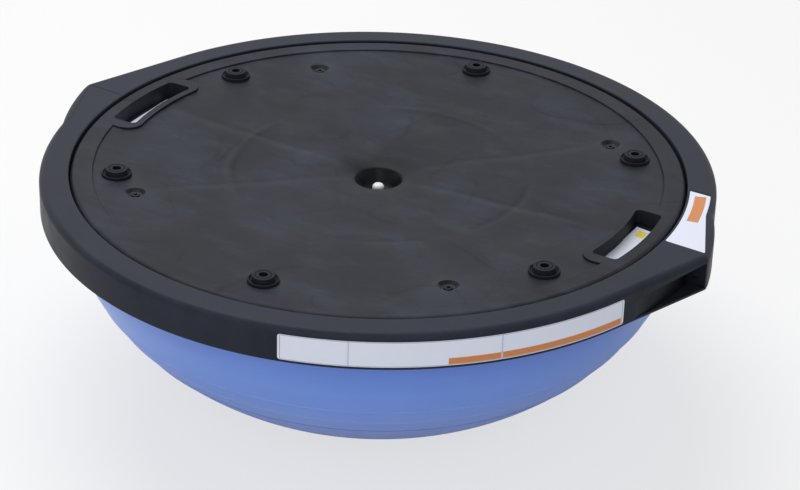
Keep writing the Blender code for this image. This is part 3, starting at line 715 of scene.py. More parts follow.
def vinyl(shade):
    """Blue vinyl: a soft sheen, mottling and very fine stretch lines round the dome.

    It has a painted shadow under the skirt, and a painted sheen of the white floor makes it paler
    low down.
    """
    made, point, feed = begin("blue_vinyl", {"IOR": 1.5, "Coat Roughness": 0.28})
    _, _, z = point.parts()
    mottle = point.noise(16, 3, 0.55)
    cloud = point.noise(5, 2)
    lines = point.noise(1.0, 3, 0.6, stretch=(3.0, 3.0, 260.0))
    fine = point.noise(900, 2)
    tone = 0.84 + mottle * 0.10 + cloud * 0.12 + (lines - 0.5) * 0.06
    # Painted sheen: the white floor's reflection, painted in as a paler colour low down
    dust_and_painted_sheen = z.ramp(0.160, 0.060) * (0.26 + cloud * 0.40)
    pale = solid([0.62 * part + 0.24 for part in shade])
    # Painted shadow of the skirt: the blue is made deeper just under it
    deep = [part * share for part, share in zip(shade, (0.66, 0.71, 0.84))]
    blue_with_painted_shadow = z.ramp(0.150, 0.195).between(tone.tint(shade), tone.tint(deep))
    feed("Base Color", dust_and_painted_sheen.between(blue_with_painted_shadow, pale))
    feed("Roughness", 0.36 + (mottle - 0.5) * 0.12 + (lines - 0.5) * 0.10)
    feed("Coat Weight", 0.25 + (cloud - 0.5) * 0.2)
    feed("Normal", (lines * 0.7 + fine * 0.25).bump(0.00010, 0.5))
    return made


def rubber(shade):
    """Matt black rubber with a dusty bloom."""
    made, point, feed = begin("black_rubber", {"Specular IOR Level": 0.06})
    dust_and_painted_sheen = point.noise(120, 4, 0.7)
    grain = point.noise(1800, 1)
    feed("Base Color", (0.8 + dust_and_painted_sheen * 0.5).tint(shade))
    feed("Roughness", 0.48 + (dust_and_painted_sheen - 0.5) * 0.2)
    feed("Normal", (grain + dust_and_painted_sheen * 0.5).bump(0.0001, 0.5))
    return made


def white_plastic(shade):
    """White plastic with a faint cloudiness."""
    made, point, feed = begin("white_plug_plastic", {"IOR": 1.49})
    cloud = point.noise(160, 3)
    feed("Base Color", (0.94 + cloud * 0.10).tint(shade))
    feed("Roughness", 0.34 + (cloud - 0.5) * 0.15)
    feed("Normal", cloud.bump(0.00005, 0.4))
    return made


def blackened_steel(shade):
    """Dark steel, unevenly stained."""
    made, point, feed = begin("blackened_steel", {"Metallic": 1.0})
    stain = point.noise(420, 4, 0.6)
    feed("Base Color", (0.75 + stain * 0.5).tint(shade))
    feed("Roughness", 0.36 + (stain - 0.5) * 0.25)
    feed("Normal", point.noise(2600, 1).bump(0.00003, 0.4))
    return made


def sticker_base(name):
    """Coated sticker paper. Returns the material, its point, its feed and a faint mottle."""
    made, point, feed = begin(name, {"IOR": 1.5})
    mottle = point.noise(90, 3)
    feed("Roughness", 0.38 + (mottle - 0.5) * 0.16)
    feed("Normal", (mottle + point.noise(1500, 1) * 0.3).bump(0.00005, 0.35))
    return made, point, feed, mottle


# Pieces

def ear_tip(ring):
    """Radius of an ear's tip, before it is rounded off."""
    return ring.radius / math.cos(ring.ear_angle)


def ear_line(ring):
    """An ear's straight side, tip and back, as (degrees, radius) pairs in rising order."""
    tip = polar(ear_tip(ring), 0)
    side = polar(ring.radius, -math.degrees(ring.ear_angle))
    back = polar(ring.radius, math.degrees(ring.back_angle))
    outward = Vector((back.y - tip.y, tip.x - back.x, 0)).normalized()
    before = tip + (side - tip).normalized() * ring.tip_round
    after = tip + (back - tip).normalized() * ring.tip_round
    points = [side.lerp(before, k / 20) for k in range(20)]
    for k in range(17):
        t = k / 16
        points.append(before * (1 - t) ** 2 + tip * 2 * t * (1 - t) + after * t * t)
    first = ring.tip_round / (back - tip).length
    for k in range(1, 25):
        t = first + (1 - first) * k / 24
        points.append(tip.lerp(back, t) + outward * ring.back_bulge * 4 * t * (1 - t))
    return [(math.degrees(math.atan2(p.y, p.x)), p.length) for p in points]


def outline_radius(ring, line, angle):
    """Radius of the ring's outline at an angle in degrees."""
    turn = (angle + 90) % 180 - 90
    if not line[0][0] < turn < line[-1][0]:
        return ring.radius
    for (a, ra), (b, rb) in zip(line, line[1:]):
        if a <= turn <= b:
            first, second = polar(ra, a), polar(rb, b)
            ray = polar(1, turn)
            across = (second - first).cross(ray).z
            share = -first.cross(ray).z / across if abs(across) > 1e-12 else 0.0
            return (first + (second - first) * share).dot(ray)
    return ring.radius


def rim_section(ring):
    """Section of the ring's thin walls: flange, band, skirt and the two hoops below."""
    inner = ring.radius - ring.band
    channel = ring.radius - ring.wall
    hoop = inner - 0.0005
    under = ring.flange_top - ring.flange
    foot = ring.top - ring.skirt
    return [
        (ring.flange_radius, ring.flange_top, 0.0005, 2),
        (inner, ring.flange_top, 0.0008, 3),
        (inner, ring.top, ring.lip, 5),
        (ring.radius, ring.top, ring.fillet, 10),
        (ring.radius, foot, 0.0009, 3),
        (channel, foot, 0.0009, 3),
        (channel, ring.top - ring.wall, 0.001, 2),
        (hoop + ring.flange, ring.top - ring.wall, 0.001, 2),
        (hoop + ring.flange, GUSSET_LOW, 0.0006, 2),
        (hoop, GUSSET_LOW, 0.0006, 2),
        (hoop, under, 0.001, 2),
        (ring.flange_radius + ring.flange, under, 0.001, 2),
        (ring.flange_radius + ring.flange, FLANGE_LOW, 0.0006, 2),
        (ring.flange_radius, FLANGE_LOW, 0.0006, 2),
    ]


def pull_ears(piece, ring):
    """Pulls the outer wall and its fillet out to the ears' outline, station by station."""
    line = ear_line(ring)
    centre_r = ring.radius - ring.fillet
    centre_z = ring.top - ring.fillet
    edit(piece)
    bpy.ops.mesh.select_mode(type="VERT")
    shape = bmesh.from_edit_mesh(piece.data)
    stations = {}
    for v in shape.verts:
        radius = math.hypot(v.co.x, v.co.y)
        from_centre = math.hypot(radius - centre_r, v.co.z - centre_z)
        on_fillet = radius > centre_r - TINY and v.co.z > centre_z - TINY
        if radius > ring.radius - 0.001 or (on_fillet and from_centre > ring.fillet * 0.97):
            angle = round(math.degrees(math.atan2(v.co.y, v.co.x)), 3)
            stations.setdefault(angle, []).append(v)
    for angle, verts in sorted(stations.items()):
        shift = outline_radius(ring, line, angle) - ring.radius
        if abs(shift) < 1e-7:
            continue
        bpy.ops.mesh.select_all(action="DESELECT")
        for v in verts:
            v.select_set(True)
        bpy.ops.transform.translate(value=polar(shift, angle))
    bpy.ops.object.mode_set(mode="OBJECT")


def rib_set(ring):
    """Ribs under the flange and in the channel, clear of the two wells."""
    inner = ring.radius - ring.band + 0.001
    start = ring.flange_radius + 0.002
    channel = ring.radius - ring.wall
    under = ring.flange_top - ring.flange + 0.001
    roof = ring.top - ring.wall + 0.001
    flange_rib = [
        (start, under),
        (inner, under),
        (inner, GUSSET_LOW),
        (0.289, GUSSET_LOW),
        (0.258, FLANGE_LOW),
        (start, FLANGE_LOW),
    ]
    channel_rib = [
        (inner, roof),
        (channel + 0.001, roof),
        (channel + 0.001, 0.2066),
        (channel - 0.0025, GUSSET_LOW),
        (inner, GUSSET_LOW),
    ]
    turns = [a for a in range(0, FULL_TURN, 20) if min(a % 180, 180 - a % 180) > 15]
    return [
        repeated(upright_slab("rib", section, ring.rib), turns=turns)
        for section in (flange_rib, channel_rib)
    ]


def pegs(places, radius, low, high, steps=24):
    """Round pegs at all places, as one tool."""
    corners = [(0.0, low), (radius, low), (radius, high), (0.0, high)]
    return repeated(spin_up("peg", corners, (FULL_TURN, steps)), places)


class TRAINER_OT_rim_ring(bpy.types.Operator):
    """Models the rim ring with its two ears, pockets and ribs"""

    bl_idname = "trainer.rim_ring"
    bl_label = "Rim ring"

    def execute(self, context):
        ring = sizes("ring")
        plate = sizes("plate")
        # Close stations at the ears' tips, and about one a degree elsewhere
        half_turn = [(2.4, 8), (13.1, 13), (145.5, 116), (16.6, 16), (2.4, 8)]
        piece = spin_up("ring_moulding", rim_section(ring), *half_turn, *half_turn)
        pull_ears(piece, ring)
        for ribs in rib_set(ring):
            cut(piece, ribs, "UNION")
        places = PLATE_SCREWS + FEET
        boss, boss_low = 0.0055, 0.2136
        cut(piece, pegs(places, boss, boss_low, ring.flange_top - ring.flange / 2), "UNION")
        cut(piece, pegs(places, SCREW_HOLE, BELOW, ring.top))
        cut(piece, pair(self.pocket(ring)))
        cut(piece, pair(self.cavity(ring)))
        cut(piece, pair(self.notch(plate)))
        cut(piece, pair(self.eye(ring)))
        cut(piece, pair(self.recess(ring)))
        finish(piece, self.plastic(), ["rim_ring"])
        return {"FINISHED"}

    def plastic(self):
        return moulded_plastic("black_ring_plastic", sizes("colours").ring, ring_shade_and_wear, 0.44)

    def pocket(self, ring):
        """The wedge-shaped hollow behind an ear's straight side, open to the outside."""
        beyond = ear_tip(ring) + 0.02
        back = ring.radius + 0.0008
        end_wall = -0.0025
        outline = [polar(back, angle) for angle in around(-15.6, -1.6, 0.9)]
        outline.append((math.sqrt(back ** 2 - end_wall ** 2), end_wall))
        outline.append((beyond, end_wall))
        outline.append(polar(beyond, -16.6))
        tool = slab("pocket", outline, ring.top - ring.skirt + 0.0027, ring.top)
        high = polar(ring.radius, -1.0, ring.top - 0.0074)
        low = polar(ring.radius, -12.0, ring.top - 0.0122)
        across = polar(1, -20.0)
        slice_below(tool, high, across.cross(low - high))
        return tool

    def cavity(self, ring):
        """The hollow under the back half of an ear, open below."""
        line = ear_line(ring)
        start, end = 1.0, 8.0
        outer = [
            polar(outline_radius(ring, line, angle) - ring.wall, angle)
            for angle in around(start, end, 0.7)
        ]
        inner = [polar(ring.radius, angle) for angle in around(end, start, 1.0)]
        return slab("cavity", outer + inner, BELOW, ring.top - ring.wall)

    def notch(self, plate):
        """The window that a well passes through in the flange."""
        return slab("notch", well_window(plate), BELOW, CLAMP_TOP + 0.0002)

    def eye(self, ring):
        """The small blind hole in the end wall of an ear's pocket."""
        out = ring.radius / math.cos(math.radians(8)) + 0.0065
        height = ring.top - 0.0225
        section = []
        for k in range(24):
            turn = k * math.tau / 24
            section.append((out + math.cos(turn) * ring.eye, height + math.sin(turn) * ring.eye))
        return upright_slab("eye", section, 0.02, -0.009)

    def recess(self, ring):
        """The shallow recess for a sticker on the back half of an ear's top."""
        outline = ear_outline(ring, 0.6, 22.1, (0.6, 1.5), 0.0003)
        return slab("recess", outline, ring.top - ring.recess, ring.top + 0.01)


def ear_outline(ring, start, end, slants, grow=0.0):
    """Outline on the flat of an ear's top between two angles, with round corners.

    Outside it follows the circle and then a straight line to the ear's tip. Its two
    short edges lean back by the slants where they near the outside.
    """
    inner = ring.radius - ring.band + ring.lip + 0.0011 - grow
    circle = ring.radius - 0.0057 + grow
    tip = polar(ring.radius + 0.0150 + grow, 0.5)
    along = polar(ring.radius - 0.0041 + grow, 11.5) - tip

    def outer(angle):
        ray = polar(1, angle)
        straight = tip.cross(along).z / ray.cross(along).z
        return max(circle, straight)

    near = [polar(inner, angle) for angle in around(end, start, 1.2)]
    turns = around(start - slants[0], end - slants[1], 1.2)
    far = [polar(outer(angle), angle) for angle in turns]
    return rounded(near + far, 0.0017)


def rounded(points, radius, parts=4, sharp=40):
    """Points of a closed outline, with each corner sharper than a few degrees rounded off."""
    made = []
    for before, at, after in zip(points[-1:] + points[:-1], points, points[1:] + points[:1]):
        first, last = (before - at).normalized(), (after - at).normalized()
        if math.degrees(first.angle(last)) > 180 - sharp:
            made.append(at)
            continue
        start, end = at + first * radius, at + last * radius
        for k in range(parts + 1):
            t = k / parts
            made.append(start * (1 - t) ** 2 + at * 2 * t * (1 - t) + end * t * t)
    return made


class TRAINER_OT_base_plate(bpy.types.Operator):
    """Models the base plate with its wells, borders, dimples and funnel"""

    bl_idname = "trainer.base_plate"
    bl_label = "Base plate"

    def execute(self, context):
        ring = sizes("ring")
        plate = sizes("plate")
        self.top = ring.top
        self.band = ring.top - plate.drop
        self.step_radius = plate.radius - plate.band
        self.slope = math.tan(plate.slope)
        self.floor_edge = self.band - plate.step
        self.inner, self.outer = slot_radii(plate)
        piece = spin_up("plate_moulding", self.section(plate), (FULL_TURN, 288))
        cut(piece, pair(self.border_groove(plate)))
        cut(piece, pair(self.border(plate)), "UNION")
        well_top = self.band - plate.thickness / 2
        cut(piece, pair(self.well(plate, plate.well_wall, well_top)), "UNION")
        cut(piece, self.ribs(plate), "UNION")
        cut(piece, pair(self.well(plate, 0.0, self.top + 0.01)))
        cut(piece, self.dimples(plate))
        seat = FOOT_BOX[0].z - 0.0003
        cut(piece, pegs(FEET, sizes("small").foot + 0.0004, seat, self.top + 0.01, 48))
        cut(piece, pegs(PLATE_SCREWS + FEET, SCREW_HOLE, BELOW, self.top))
        self.round_slots(piece, plate)
        nodes = ["base_plate", "well_tub_right", "well_tub_left", "valve_cup"]
        finish(piece, self.plastic(), nodes)
        return {"FINISHED"}

    def plastic(self):
        return moulded_plastic("black_plate_plastic", sizes("colours").plate, plate_marks_and_shade, 0.46)

    def floor(self, radius):
        """Height of the dished floor at a radius."""
        return self.floor_edge - (self.step_radius - radius) * self.slope

    def section(self, plate):
        """Section of the plate from the valve hole out over the top and back underneath."""
        top, band = self.top, self.band
        step, depth = self.step_radius, plate.groove
        hole, floor = 0.0075, top - 0.031
        rim = plate.radius - 0.0035
        under = band - plate.thickness - 0.001
        return [
            (hole, floor, 0.0004, 2),
            (0.0130, floor, 0.0012, 3),
            (0.0163, top - 0.0283, 0.0015, 3),
            (0.0203, top - 0.0205, 0.0025, 4),
            (0.0232, top - 0.0152, 0.0014, 5),
            (0.0305, top - 0.0126, 0.0030, 4),
            (0.0390, top - 0.0111, 0.0040, 4),
            (0.0510, self.floor(0.051), 0.0060, 4),
            (step - 0.0012, self.floor(step - 0.0012), 0.0002, 2),
            (step - 0.0007, self.floor_edge - depth),
            (step - 0.0002, self.floor_edge - depth),
            (step + 0.0002, band, 0.0004, 3),
            (plate.radius, band, plate.edge, 12),
            (plate.radius, CLAMP_LOW, 0.0006, 2),
            (rim, CLAMP_LOW, 0.0006, 2),
            (rim, under, 0.001, 2),
            (0.269, under),
            (0.266, 0.229),
            (0.222, 0.229),
            (0.219, self.floor(0.219) - plate.thickness),
            (0.049, self.floor(0.049) - plate.thickness),
            (0.029, top - 0.0190, 0.003, 3),
            (0.021, floor - 0.001, 0.002, 3),
            (0.0165, floor - plate.thickness, 0.001, 2),
            (hole, floor - plate.thickness, 0.0004, 2),
        ]

    def border_groove(self, plate):
        """The thin groove round the foot of a slot's border, within the dished floor."""
        grow = 0.0005
        inner = self.inner - plate.border_in - grow
        outline = self.border_outline(plate, grow)
        tool = slab("groove", outline, self.top - 0.02, self.top + 0.01)
        low = Vector((inner, 0, self.floor(inner) - plate.groove))
        high = Vector((self.step_radius, 0, self.floor_edge - plate.groove))
        along = high - low
        slice_below(tool, low, (-along.z, 0, along.x))
        edge = self.step_radius - 0.0001
        corners = [(0.0, 0.2), (edge, 0.2), (edge, 0.26), (0.0, 0.26)]
        cut(tool, spin_up("disc", corners, (FULL_TURN, 288)), "INTERSECT")
        return tool

    def border(self, plate):
        """The raised border round a slot, level with the outer band."""
        outline = self.border_outline(plate, 0.0)
        return slab("border", outline, self.band - plate.thickness, self.band)

    def border_outline(self, plate, grow):
        """Outline of a slot's border, grown on all sides."""
        inner = self.inner - plate.border_in - grow
        outer = self.outer + plate.well_wall + grow
        half = plate.slot_half + plate.border_end + grow
        return slot_outline(inner, outer, half, plate.border_corner + grow, 8, 24)

    def well(self, plate, wall, high):
        """The sloping hollow under a slot, or with a wall its outer form."""
        outline = slot_outline(
            self.inner - wall, self.outer + wall, plate.slot_half + wall, plate.slot_corner + wall
        )
        tool = slab("well", outline, self.top - 0.05, high)
        low = Vector((slot_ends_x(plate), 0, self.top - plate.well_in - wall))
        far = Vector((self.outer, 0, self.top - plate.well_out - wall))
        along = far - low
        slice_below(tool, low, (-along.z, 0, along.x))
        return tool

    def ribs(self, plate):
        """Stiffening ribs under the middle of the plate."""
        inner, outer = 0.0593, 0.216
        deep, inside = plate.thickness + 0.010, plate.thickness / 2
        section = [
            (inner, self.floor(inner) - deep),
            (outer, self.floor(outer) - deep),
            (outer, self.floor(outer) - inside),
            (inner, self.floor(inner) - inside),
        ]
        return repeated(upright_slab("rib", section, 0.0025), turns=(0, 45, 135, 180, 225, 315))

    def dimples(self, plate):
        """Cones that sink the heads of the four plate screws."""
        rim = self.floor(PLATE_SCREWS[0].to_2d().length)
        head = sizes("small").screw_head + 0.0001
        seat = rim - 0.0052
        deep = rim - plate.dimple_depth
        corners = [
            (0.0, seat),
            (head, seat),
            (head, deep - 0.0003, 0.0003, 2),
            (head + 0.0018, deep, 0.0009, 3),
            (plate.dimple - 0.0004, rim - 0.0003, 0.0004, 2),
            (plate.dimple + 0.0012, rim + 0.0001, 0.0005, 2),
            (plate.dimple + 0.0035, rim + 0.003),
            (0.0, rim + 0.003),
        ]
        first = spin_up("dimple", corners, (FULL_TURN, 48))
        return repeated(first, PLATE_SCREWS)

    def round_slots(self, piece, plate):
        """Rounds the mouths of the slots."""
        def mouth(edge):
            """True for an edge between the flat border and a slot's upright wall."""
            ends = edge.verts
            if any(abs(v.co.z - self.band) > 1e-5 for v in ends):
                return False
            if len(edge.link_faces) != 2:
                return False
            centre = (ends[0].co + ends[1].co) / 2
            radius = math.hypot(centre.x, centre.y)
            near = 0.002
            if not self.inner - near < radius < self.outer + near:
                return False
            if abs(centre.y) >= plate.slot_half + near:
                return False
            levels = sorted(abs(face.normal.z) for face in edge.link_faces)
            return levels[0] < 0.1 and levels[1] > 0.9

        soften(piece, mouth, 0.0012, 3)


class TRAINER_OT_dome(bpy.types.Operator):
    """Models the air-filled dome with its shoulder, collar and clamped lip"""

    bl_idname = "trainer.dome"
    bl_label = "Dome"

    def execute(self, context):
        dome = sizes("dome")
        ring = sizes("ring")
        plate = sizes("plate")
        neck = ring.flange_radius - 0.0003
        lip_out, lip_top, lip_low = 0.262, CLAMP_TOP, CLAMP_LOW
        outside = [
            (neck, lip_low),
            (neck, 0.2127, 0.0008, 2),
            (0.258, 0.2127, 0.004, 4),
            (0.291, 0.2081, 0.006, 5),
        ]
        outside += self.side(dome, 0.0, 97)
        inside = self.side(dome, dome.wall, 24)[::-1]
        inside += [
            (0.2885, 0.2046, 0.004, 4),
            (0.257, 0.2092, 0.003, 3),
            (neck - dome.wall, 0.2092, 0.0008, 2),
            (neck - dome.wall, lip_top),
            (lip_out, lip_top),
            (lip_out, lip_low),
        ]
        piece = spin_up("dome_skin", inside + outside, (FULL_TURN, 192))
        cut(piece, pegs(PLATE_SCREWS + FEET, SCREW_HOLE, lip_low - 0.002, 0.24))
        cut(piece, pair(slab("notch", well_window(plate), lip_low - 0.004, lip_top + 0.004)))
        nodes = ["bladder_dome", "bladder_collar"]
        finish(piece, vinyl(sizes("colours").vinyl), nodes)
        return {"FINISHED"}

    def side(self, dome, inset, steps):
        """Points down the ellipse to the middle of the flat patch, with thin rings outside."""
        depth = dome.depth - inset
        shoulder = 0.1945

        def at_height(height):
            return math.asin((height - dome.middle) / depth)

        start, end = at_height(shoulder), at_height(inset)
        stations = {start + (end - start) * k / steps: 0.0 for k in range(steps + 1)}
        if not inset:
            for k in range(dome.rings):
                for part in (-1, -0.6, -0.25, 0, 0.25, 0.6, 1):
                    height = dome.first_ring - dome.ring_step * k + dome.bead_width * part
                    stations[at_height(height)] = (1 + math.cos(math.pi * part)) / 2
        points = []
        for angle in sorted(stations, reverse=True):
            radius = (dome.radius - inset) * math.cos(angle) + dome.bead * stations[angle]
            points.append((radius, dome.middle + depth * math.sin(angle)))
        points[-1] = (points[-1][0], inset)
        return points + [(0.0, inset)]


class TRAINER_OT_valve(bpy.types.Operator):
    """Models the white plug and its rubber seat"""

    bl_idname = "trainer.valve"
    bl_label = "Valve"

    def execute(self, context):
        small = sizes("small")
        inks = sizes("colours")
        seat = PLUG_BOX[1].z - 0.007
        head, high = small.plug_head, seat + small.plug_head_height
        stem, tip = 0.0042, seat - 0.0160
        corners = [
            (0.0, high),
            (head, high, 0.0038, 9),
            (head, seat, 0.0004, 2),
            (stem, seat, 0.0003, 2),
            (stem, seat - 0.0090, 0.0004, 2),
            (0.0036, seat - 0.0150, 0.0004, 2),
            (0.0026, tip, 0.0004, 2),
            (0.0, tip),
        ]
        plug = spin_up("air_plug", corners, (FULL_TURN, 48))
        finish(plug, white_plastic(inks.plug), ["valve_plug"], 40, "plug")
        low, top = (corner.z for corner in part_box("valve_grommet"))
        bore, groove, flange = 0.0045, 0.0072, 0.0098
        groove_top, groove_low = 0.2093, 0.2047
        corners = [
            (bore, top, 0.0004, 2),
            (flange, top, 0.0005, 3),
            (flange, groove_top, 0.0003, 2),
            (groove, groove_top),
            (groove, groove_low),
            (flange, groove_low, 0.0003, 2),
            (0.0083, low, 0.0004, 2),
            (bore, low, 0.0004, 2),
        ]
        seal = spin_up("valve_seat", corners, (FULL_TURN, 48))
        finish(seal, rubber(inks.rubber), ["valve_grommet"], 40)
        return {"FINISHED"}


class TRAINER_OT_feet(bpy.types.Operator):
    """Models the six rubber feet with their screws and washers"""

    bl_idname = "trainer.feet"
    bl_label = "Feet"

    def execute(self, context):
        small = sizes("small")
        black = rubber(sizes("colours").rubber)
        steel = blackened_steel(sizes("colours").steel)
        low, top = FOOT_BOX[0].z, FOOT_BOX[1].z + 0.0008
        flange, shelf = low + 0.0037, low + 0.0012
        mouth, chamber = 0.0041, 0.0046
        corners = [
            (SCREW_HOLE, low),
            (small.foot, low, 0.0003, 2),
            (small.foot, flange, 0.0007, 4),
            (0.0133, flange, 0.0004, 3),
            (0.0124, low + 0.0018, 0.0004, 2),
            (0.0109, low + 0.0016, 0.0004, 3),
            (small.foot_top + 0.0001, top, 0.0006, 4),
            (0.0078, top, 0.0002, 2),
            (0.0073, top - 0.0008, 0.0002, 2),
            (0.0068, top, 0.0002, 2),
            (mouth, top, 0.0003, 3),
            (mouth, top - 0.0010, 0.0002, 2),
            (chamber, top - 0.0018, 0.0003, 2),
            (chamber, shelf),
            (SCREW_HOLE, shelf),
        ]
        foot = spin_up("rubber_foot", corners, (FULL_TURN, 48))
        low, top = (corner.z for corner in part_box("foot_washer_1"))
        rim = 0.0043
        corners = [
            (SCREW_HOLE, low),
            (rim, low, 0.0001, 2),
            (rim, top, 0.0002, 2),
            (SCREW_HOLE, top),
        ]
        washer = spin_up("washer", corners, (FULL_TURN, 32))
        screw = pan_screw(*(corner.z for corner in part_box("foot_screw_1")))
        for k, at in enumerate(FEET):
            for first, name, material, slot, node in (
                (foot, "rubber_foot", black, "rubber_black", "foot"),
                (washer, "washer", steel, "steel", "foot_washer"),
                (screw, "foot_fixing", steel, "steel", "foot_screw"),
            ):
                made = copy_of(first, f"{name}_{k + 1}", move=(at.x, at.y, 0))
                finish(made, material, [f"{node}_{k + 1}"], 40)
        for first in (foot, washer, screw):
            bpy.data.objects.remove(first, do_unlink=True)
        return {"FINISHED"}


def pan_screw(low, top):
    """A pan head screw with a cross recess, on the upright axis."""
    small = sizes("small")
    head = small.screw_head
    seat = top - small.screw_head_height
    corners = [
        (0.0, top),
        (head, top, 0.0008, 5),
        (head, seat, 0.0002, 2),
        (small.screw, seat),
        (small.screw, low + 0.002),
        (0.0008, low, 0.0003, 2),
        (0.0, low),
    ]
    piece = spin_up("screw", corners, (FULL_TURN, 32))
    arm, half, deep = 0.0023, 0.00065, 0.0016
    lower = [(-arm, -half), (-half, -half), (-half, -arm)]
    lower += [(half, -arm), (half, -half), (arm, -half)]
    outline = lower + [(-x, -y) for x, y in lower]
    cut(piece, slab("recess", outline, top - deep, top + 0.002))
    return piece


class TRAINER_OT_plate_screws(bpy.types.Operator):
    """Models the four plate screws in their dimples"""

    bl_idname = "trainer.plate_screws"
    bl_label = "Plate screws"

    def execute(self, context):
        steel = blackened_steel(sizes("colours").steel)
        first = pan_screw(*(corner.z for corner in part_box("plate_screw_1")))
        for k, at in enumerate(PLATE_SCREWS):
            made = copy_of(first, f"plate_fixing_{k + 1}", move=(at.x, at.y, 0))
            finish(made, steel, [f"plate_screw_{k + 1}"], 40)
        bpy.data.objects.remove(first, do_unlink=True)
        return {"FINISHED"}


class TRAINER_OT_stickers(bpy.types.Operator):
    """Lays plain stickers on the skirt, on one ear and in the wells"""

    bl_idname = "trainer.stickers"
    bl_label = "Stickers"

    def execute(self, context):
        self.skirt()
        self.ear()
        self.wells()
        return {"FINISHED"}

    def skirt(self):
        """The long sticker round the skirt, with plain panels."""
        ring = sizes("ring")
        line = ear_line(ring)
        low, high = ring.top - 0.0322, ring.top - 0.0072
        start, end, corner = 284.45, 341.8, 0.0024
        turn = math.degrees(corner / ring.radius)
        ends = [turn * (1 - math.cos(math.radians(15 * k))) for k in range(7)]
        angles = [start + a for a in ends] + around(start + turn, end - turn, 0.5)[1:-1]
        rows = []
        for angle in angles + [end - a for a in ends[::-1]]:
            inset = min(angle - start, end - angle) * math.radians(1) * ring.radius
            trim = corner - math.sqrt(max(0.0, corner ** 2 - max(0.0, corner - inset) ** 2))
            radius = outline_radius(ring, line, angle) + 0.00004
            rows.append((polar(radius, angle, low + trim), polar(radius, angle, high - trim)))
        piece = draw("skirt_sticker", rows[0])
        for before, after in zip(rows, rows[1:]):
            bpy.ops.mesh.select_all(action="DESELECT")
            shape = bmesh.from_edit_mesh(piece.data)
            for v in shape.verts:
                if min((v.co - p).length for p in before) < TINY:
                    v.select_set(True)
            shape.select_flush(True)
            bpy.ops.mesh.extrude_region_move(
                TRANSFORM_OT_translate={"value": after[1] - before[1]}
            )
            tail = [v for v in bmesh.from_edit_mesh(piece.data).verts if v.select]
            min(tail, key=lambda v: v.co.z).co = after[0]
        bpy.ops.mesh.select_all(action="SELECT")
        bpy.ops.mesh.normals_make_consistent(inside=False)
        hold(piece)
        step = piece.modifiers.new("paper", "SOLIDIFY")
        step.thickness = sizes("small").sticker
        step.offset = 1.0
        bpy.ops.object.modifier_apply(modifier=step.name)
        finish(piece, self.skirt_paper(low, high, start, end))

    def skirt_paper(self, low, high, start, end):
        """White paper with a ruled frame, two thin rules across and two orange panels."""
        made, point, feed, mottle = sticker_base("skirt_sticker_paper")
        inks = sizes("colours")
        x, y, z = point.parts()
        along = (bearing(x, y) * (180 / math.pi) + FULL_TURN - start) / (end - start)
        up = (z - low) / (high - low)
        orange = along.within(0.4571, 0.6026, 0.0006).most(along.within(0.6070, 0.9910, 0.0006))
        orange = orange * up.within(0.045, 0.29, 0.012)
        rules = (along - 0.1905).bell(0.0010).most((along - 0.6048).bell(0.0010))
        frame_line = 1 - along.within(0.0075, 0.9925, 0.0010) * up.within(0.040, 0.96, 0.012)
        frame_line = frame_line * along.within(0.0055, 0.9945, 0.0010)
        frame_line = frame_line * up.within(0.020, 0.98, 0.008)
        ruled = (rules * 0.60).most(frame_line * 0.75)
        paper = ruled.between(solid(inks.paper), solid(inks.ink))
        paper = orange.between(paper, solid(inks.orange))
        clouds = (0.97 + mottle * 0.05).tint((1, 1, 1))
        multiply = {"data_type": "RGBA", "blend_type": "MULTIPLY"}
        feed("Base Color", mottle.node("Mix", multiply, {0: 1.0, 6: paper, 7: clouds}, output=2))
        return made

    def ear(self):
        """The sticker in the recess on one ear."""
        ring = sizes("ring")
        low = ring.top - ring.recess + STICKER_GAP
        outline = ear_outline(ring, 1.1, 21.6, (0.6, 1.5))
        piece = slab("ear_sticker", outline, low, low + sizes("small").sticker)
        finish(piece, self.ear_paper())

    def ear_paper(self):
        """White paper with one orange panel."""
        made, point, feed, _ = sticker_base("ear_sticker_paper")
        inks = sizes("colours")
        x, y, _ = point.parts()
        radius = reach(x, y)
        angle = bearing(x, y) * (180 / math.pi)
        panel = angle.within(9.85, 19.70, 0.1) * radius.within(0.3045, 0.3154, 0.0003)
        feed("Base Color", panel.between(solid(inks.paper), solid(inks.orange)))
        return made

    def wells(self):
        """Plain strips on the sloping floors of the wells."""
        plate = sizes("plate")
        inner, outer = slot_radii(plate)
        floor_start = slot_ends_x(plate)
        fall = (plate.well_out - plate.well_in) / (outer - floor_start)
        floor_top = sizes("ring").top - plate.well_in + STICKER_GAP
        for name, turn, ends, spot in (
            ("well_sticker_right", 0, (-0.045, 0.0440), True),
            ("well_sticker_left", 180, (-0.0440, 0.045), False),
        ):
            near = [(math.sqrt((inner + 0.0032) ** 2 - y * y), y) for y in ends]
            far = [(math.sqrt((outer - 0.0010) ** 2 - y * y), y) for y in ends]
            piece = slab(name, near[:1] + far + near[1:], 0.0, 0.05)
            edit(piece)
            for v in bmesh.from_edit_mesh(piece.data).verts:
                upper = v.co.z > 0.025
                v.co.z = floor_top - (v.co.x - floor_start) * fall
                if upper:
                    v.co.z += sizes("small").sticker
            bpy.ops.object.mode_set(mode="OBJECT")
            turn_piece(piece, turn)
            finish(piece, self.well_paper(name + "_paper", spot))

    def well_paper(self, name, spot):
        """White paper, with a yellow patch in the right well."""
        made, point, feed, mottle = sticker_base(name)
        inks = sizes("colours")
        if spot:
            x, y, _ = point.parts()
            patch = y.within(0.027, 0.0395, 0.0003) * x.within(0.2595, 0.268, 0.0003)
            feed("Base Color", patch.between(solid(inks.paper), solid(inks.yellow)))
        else:
            feed("Base Color", (0.90 + mottle * 0.1).tint(inks.paper))
        return made


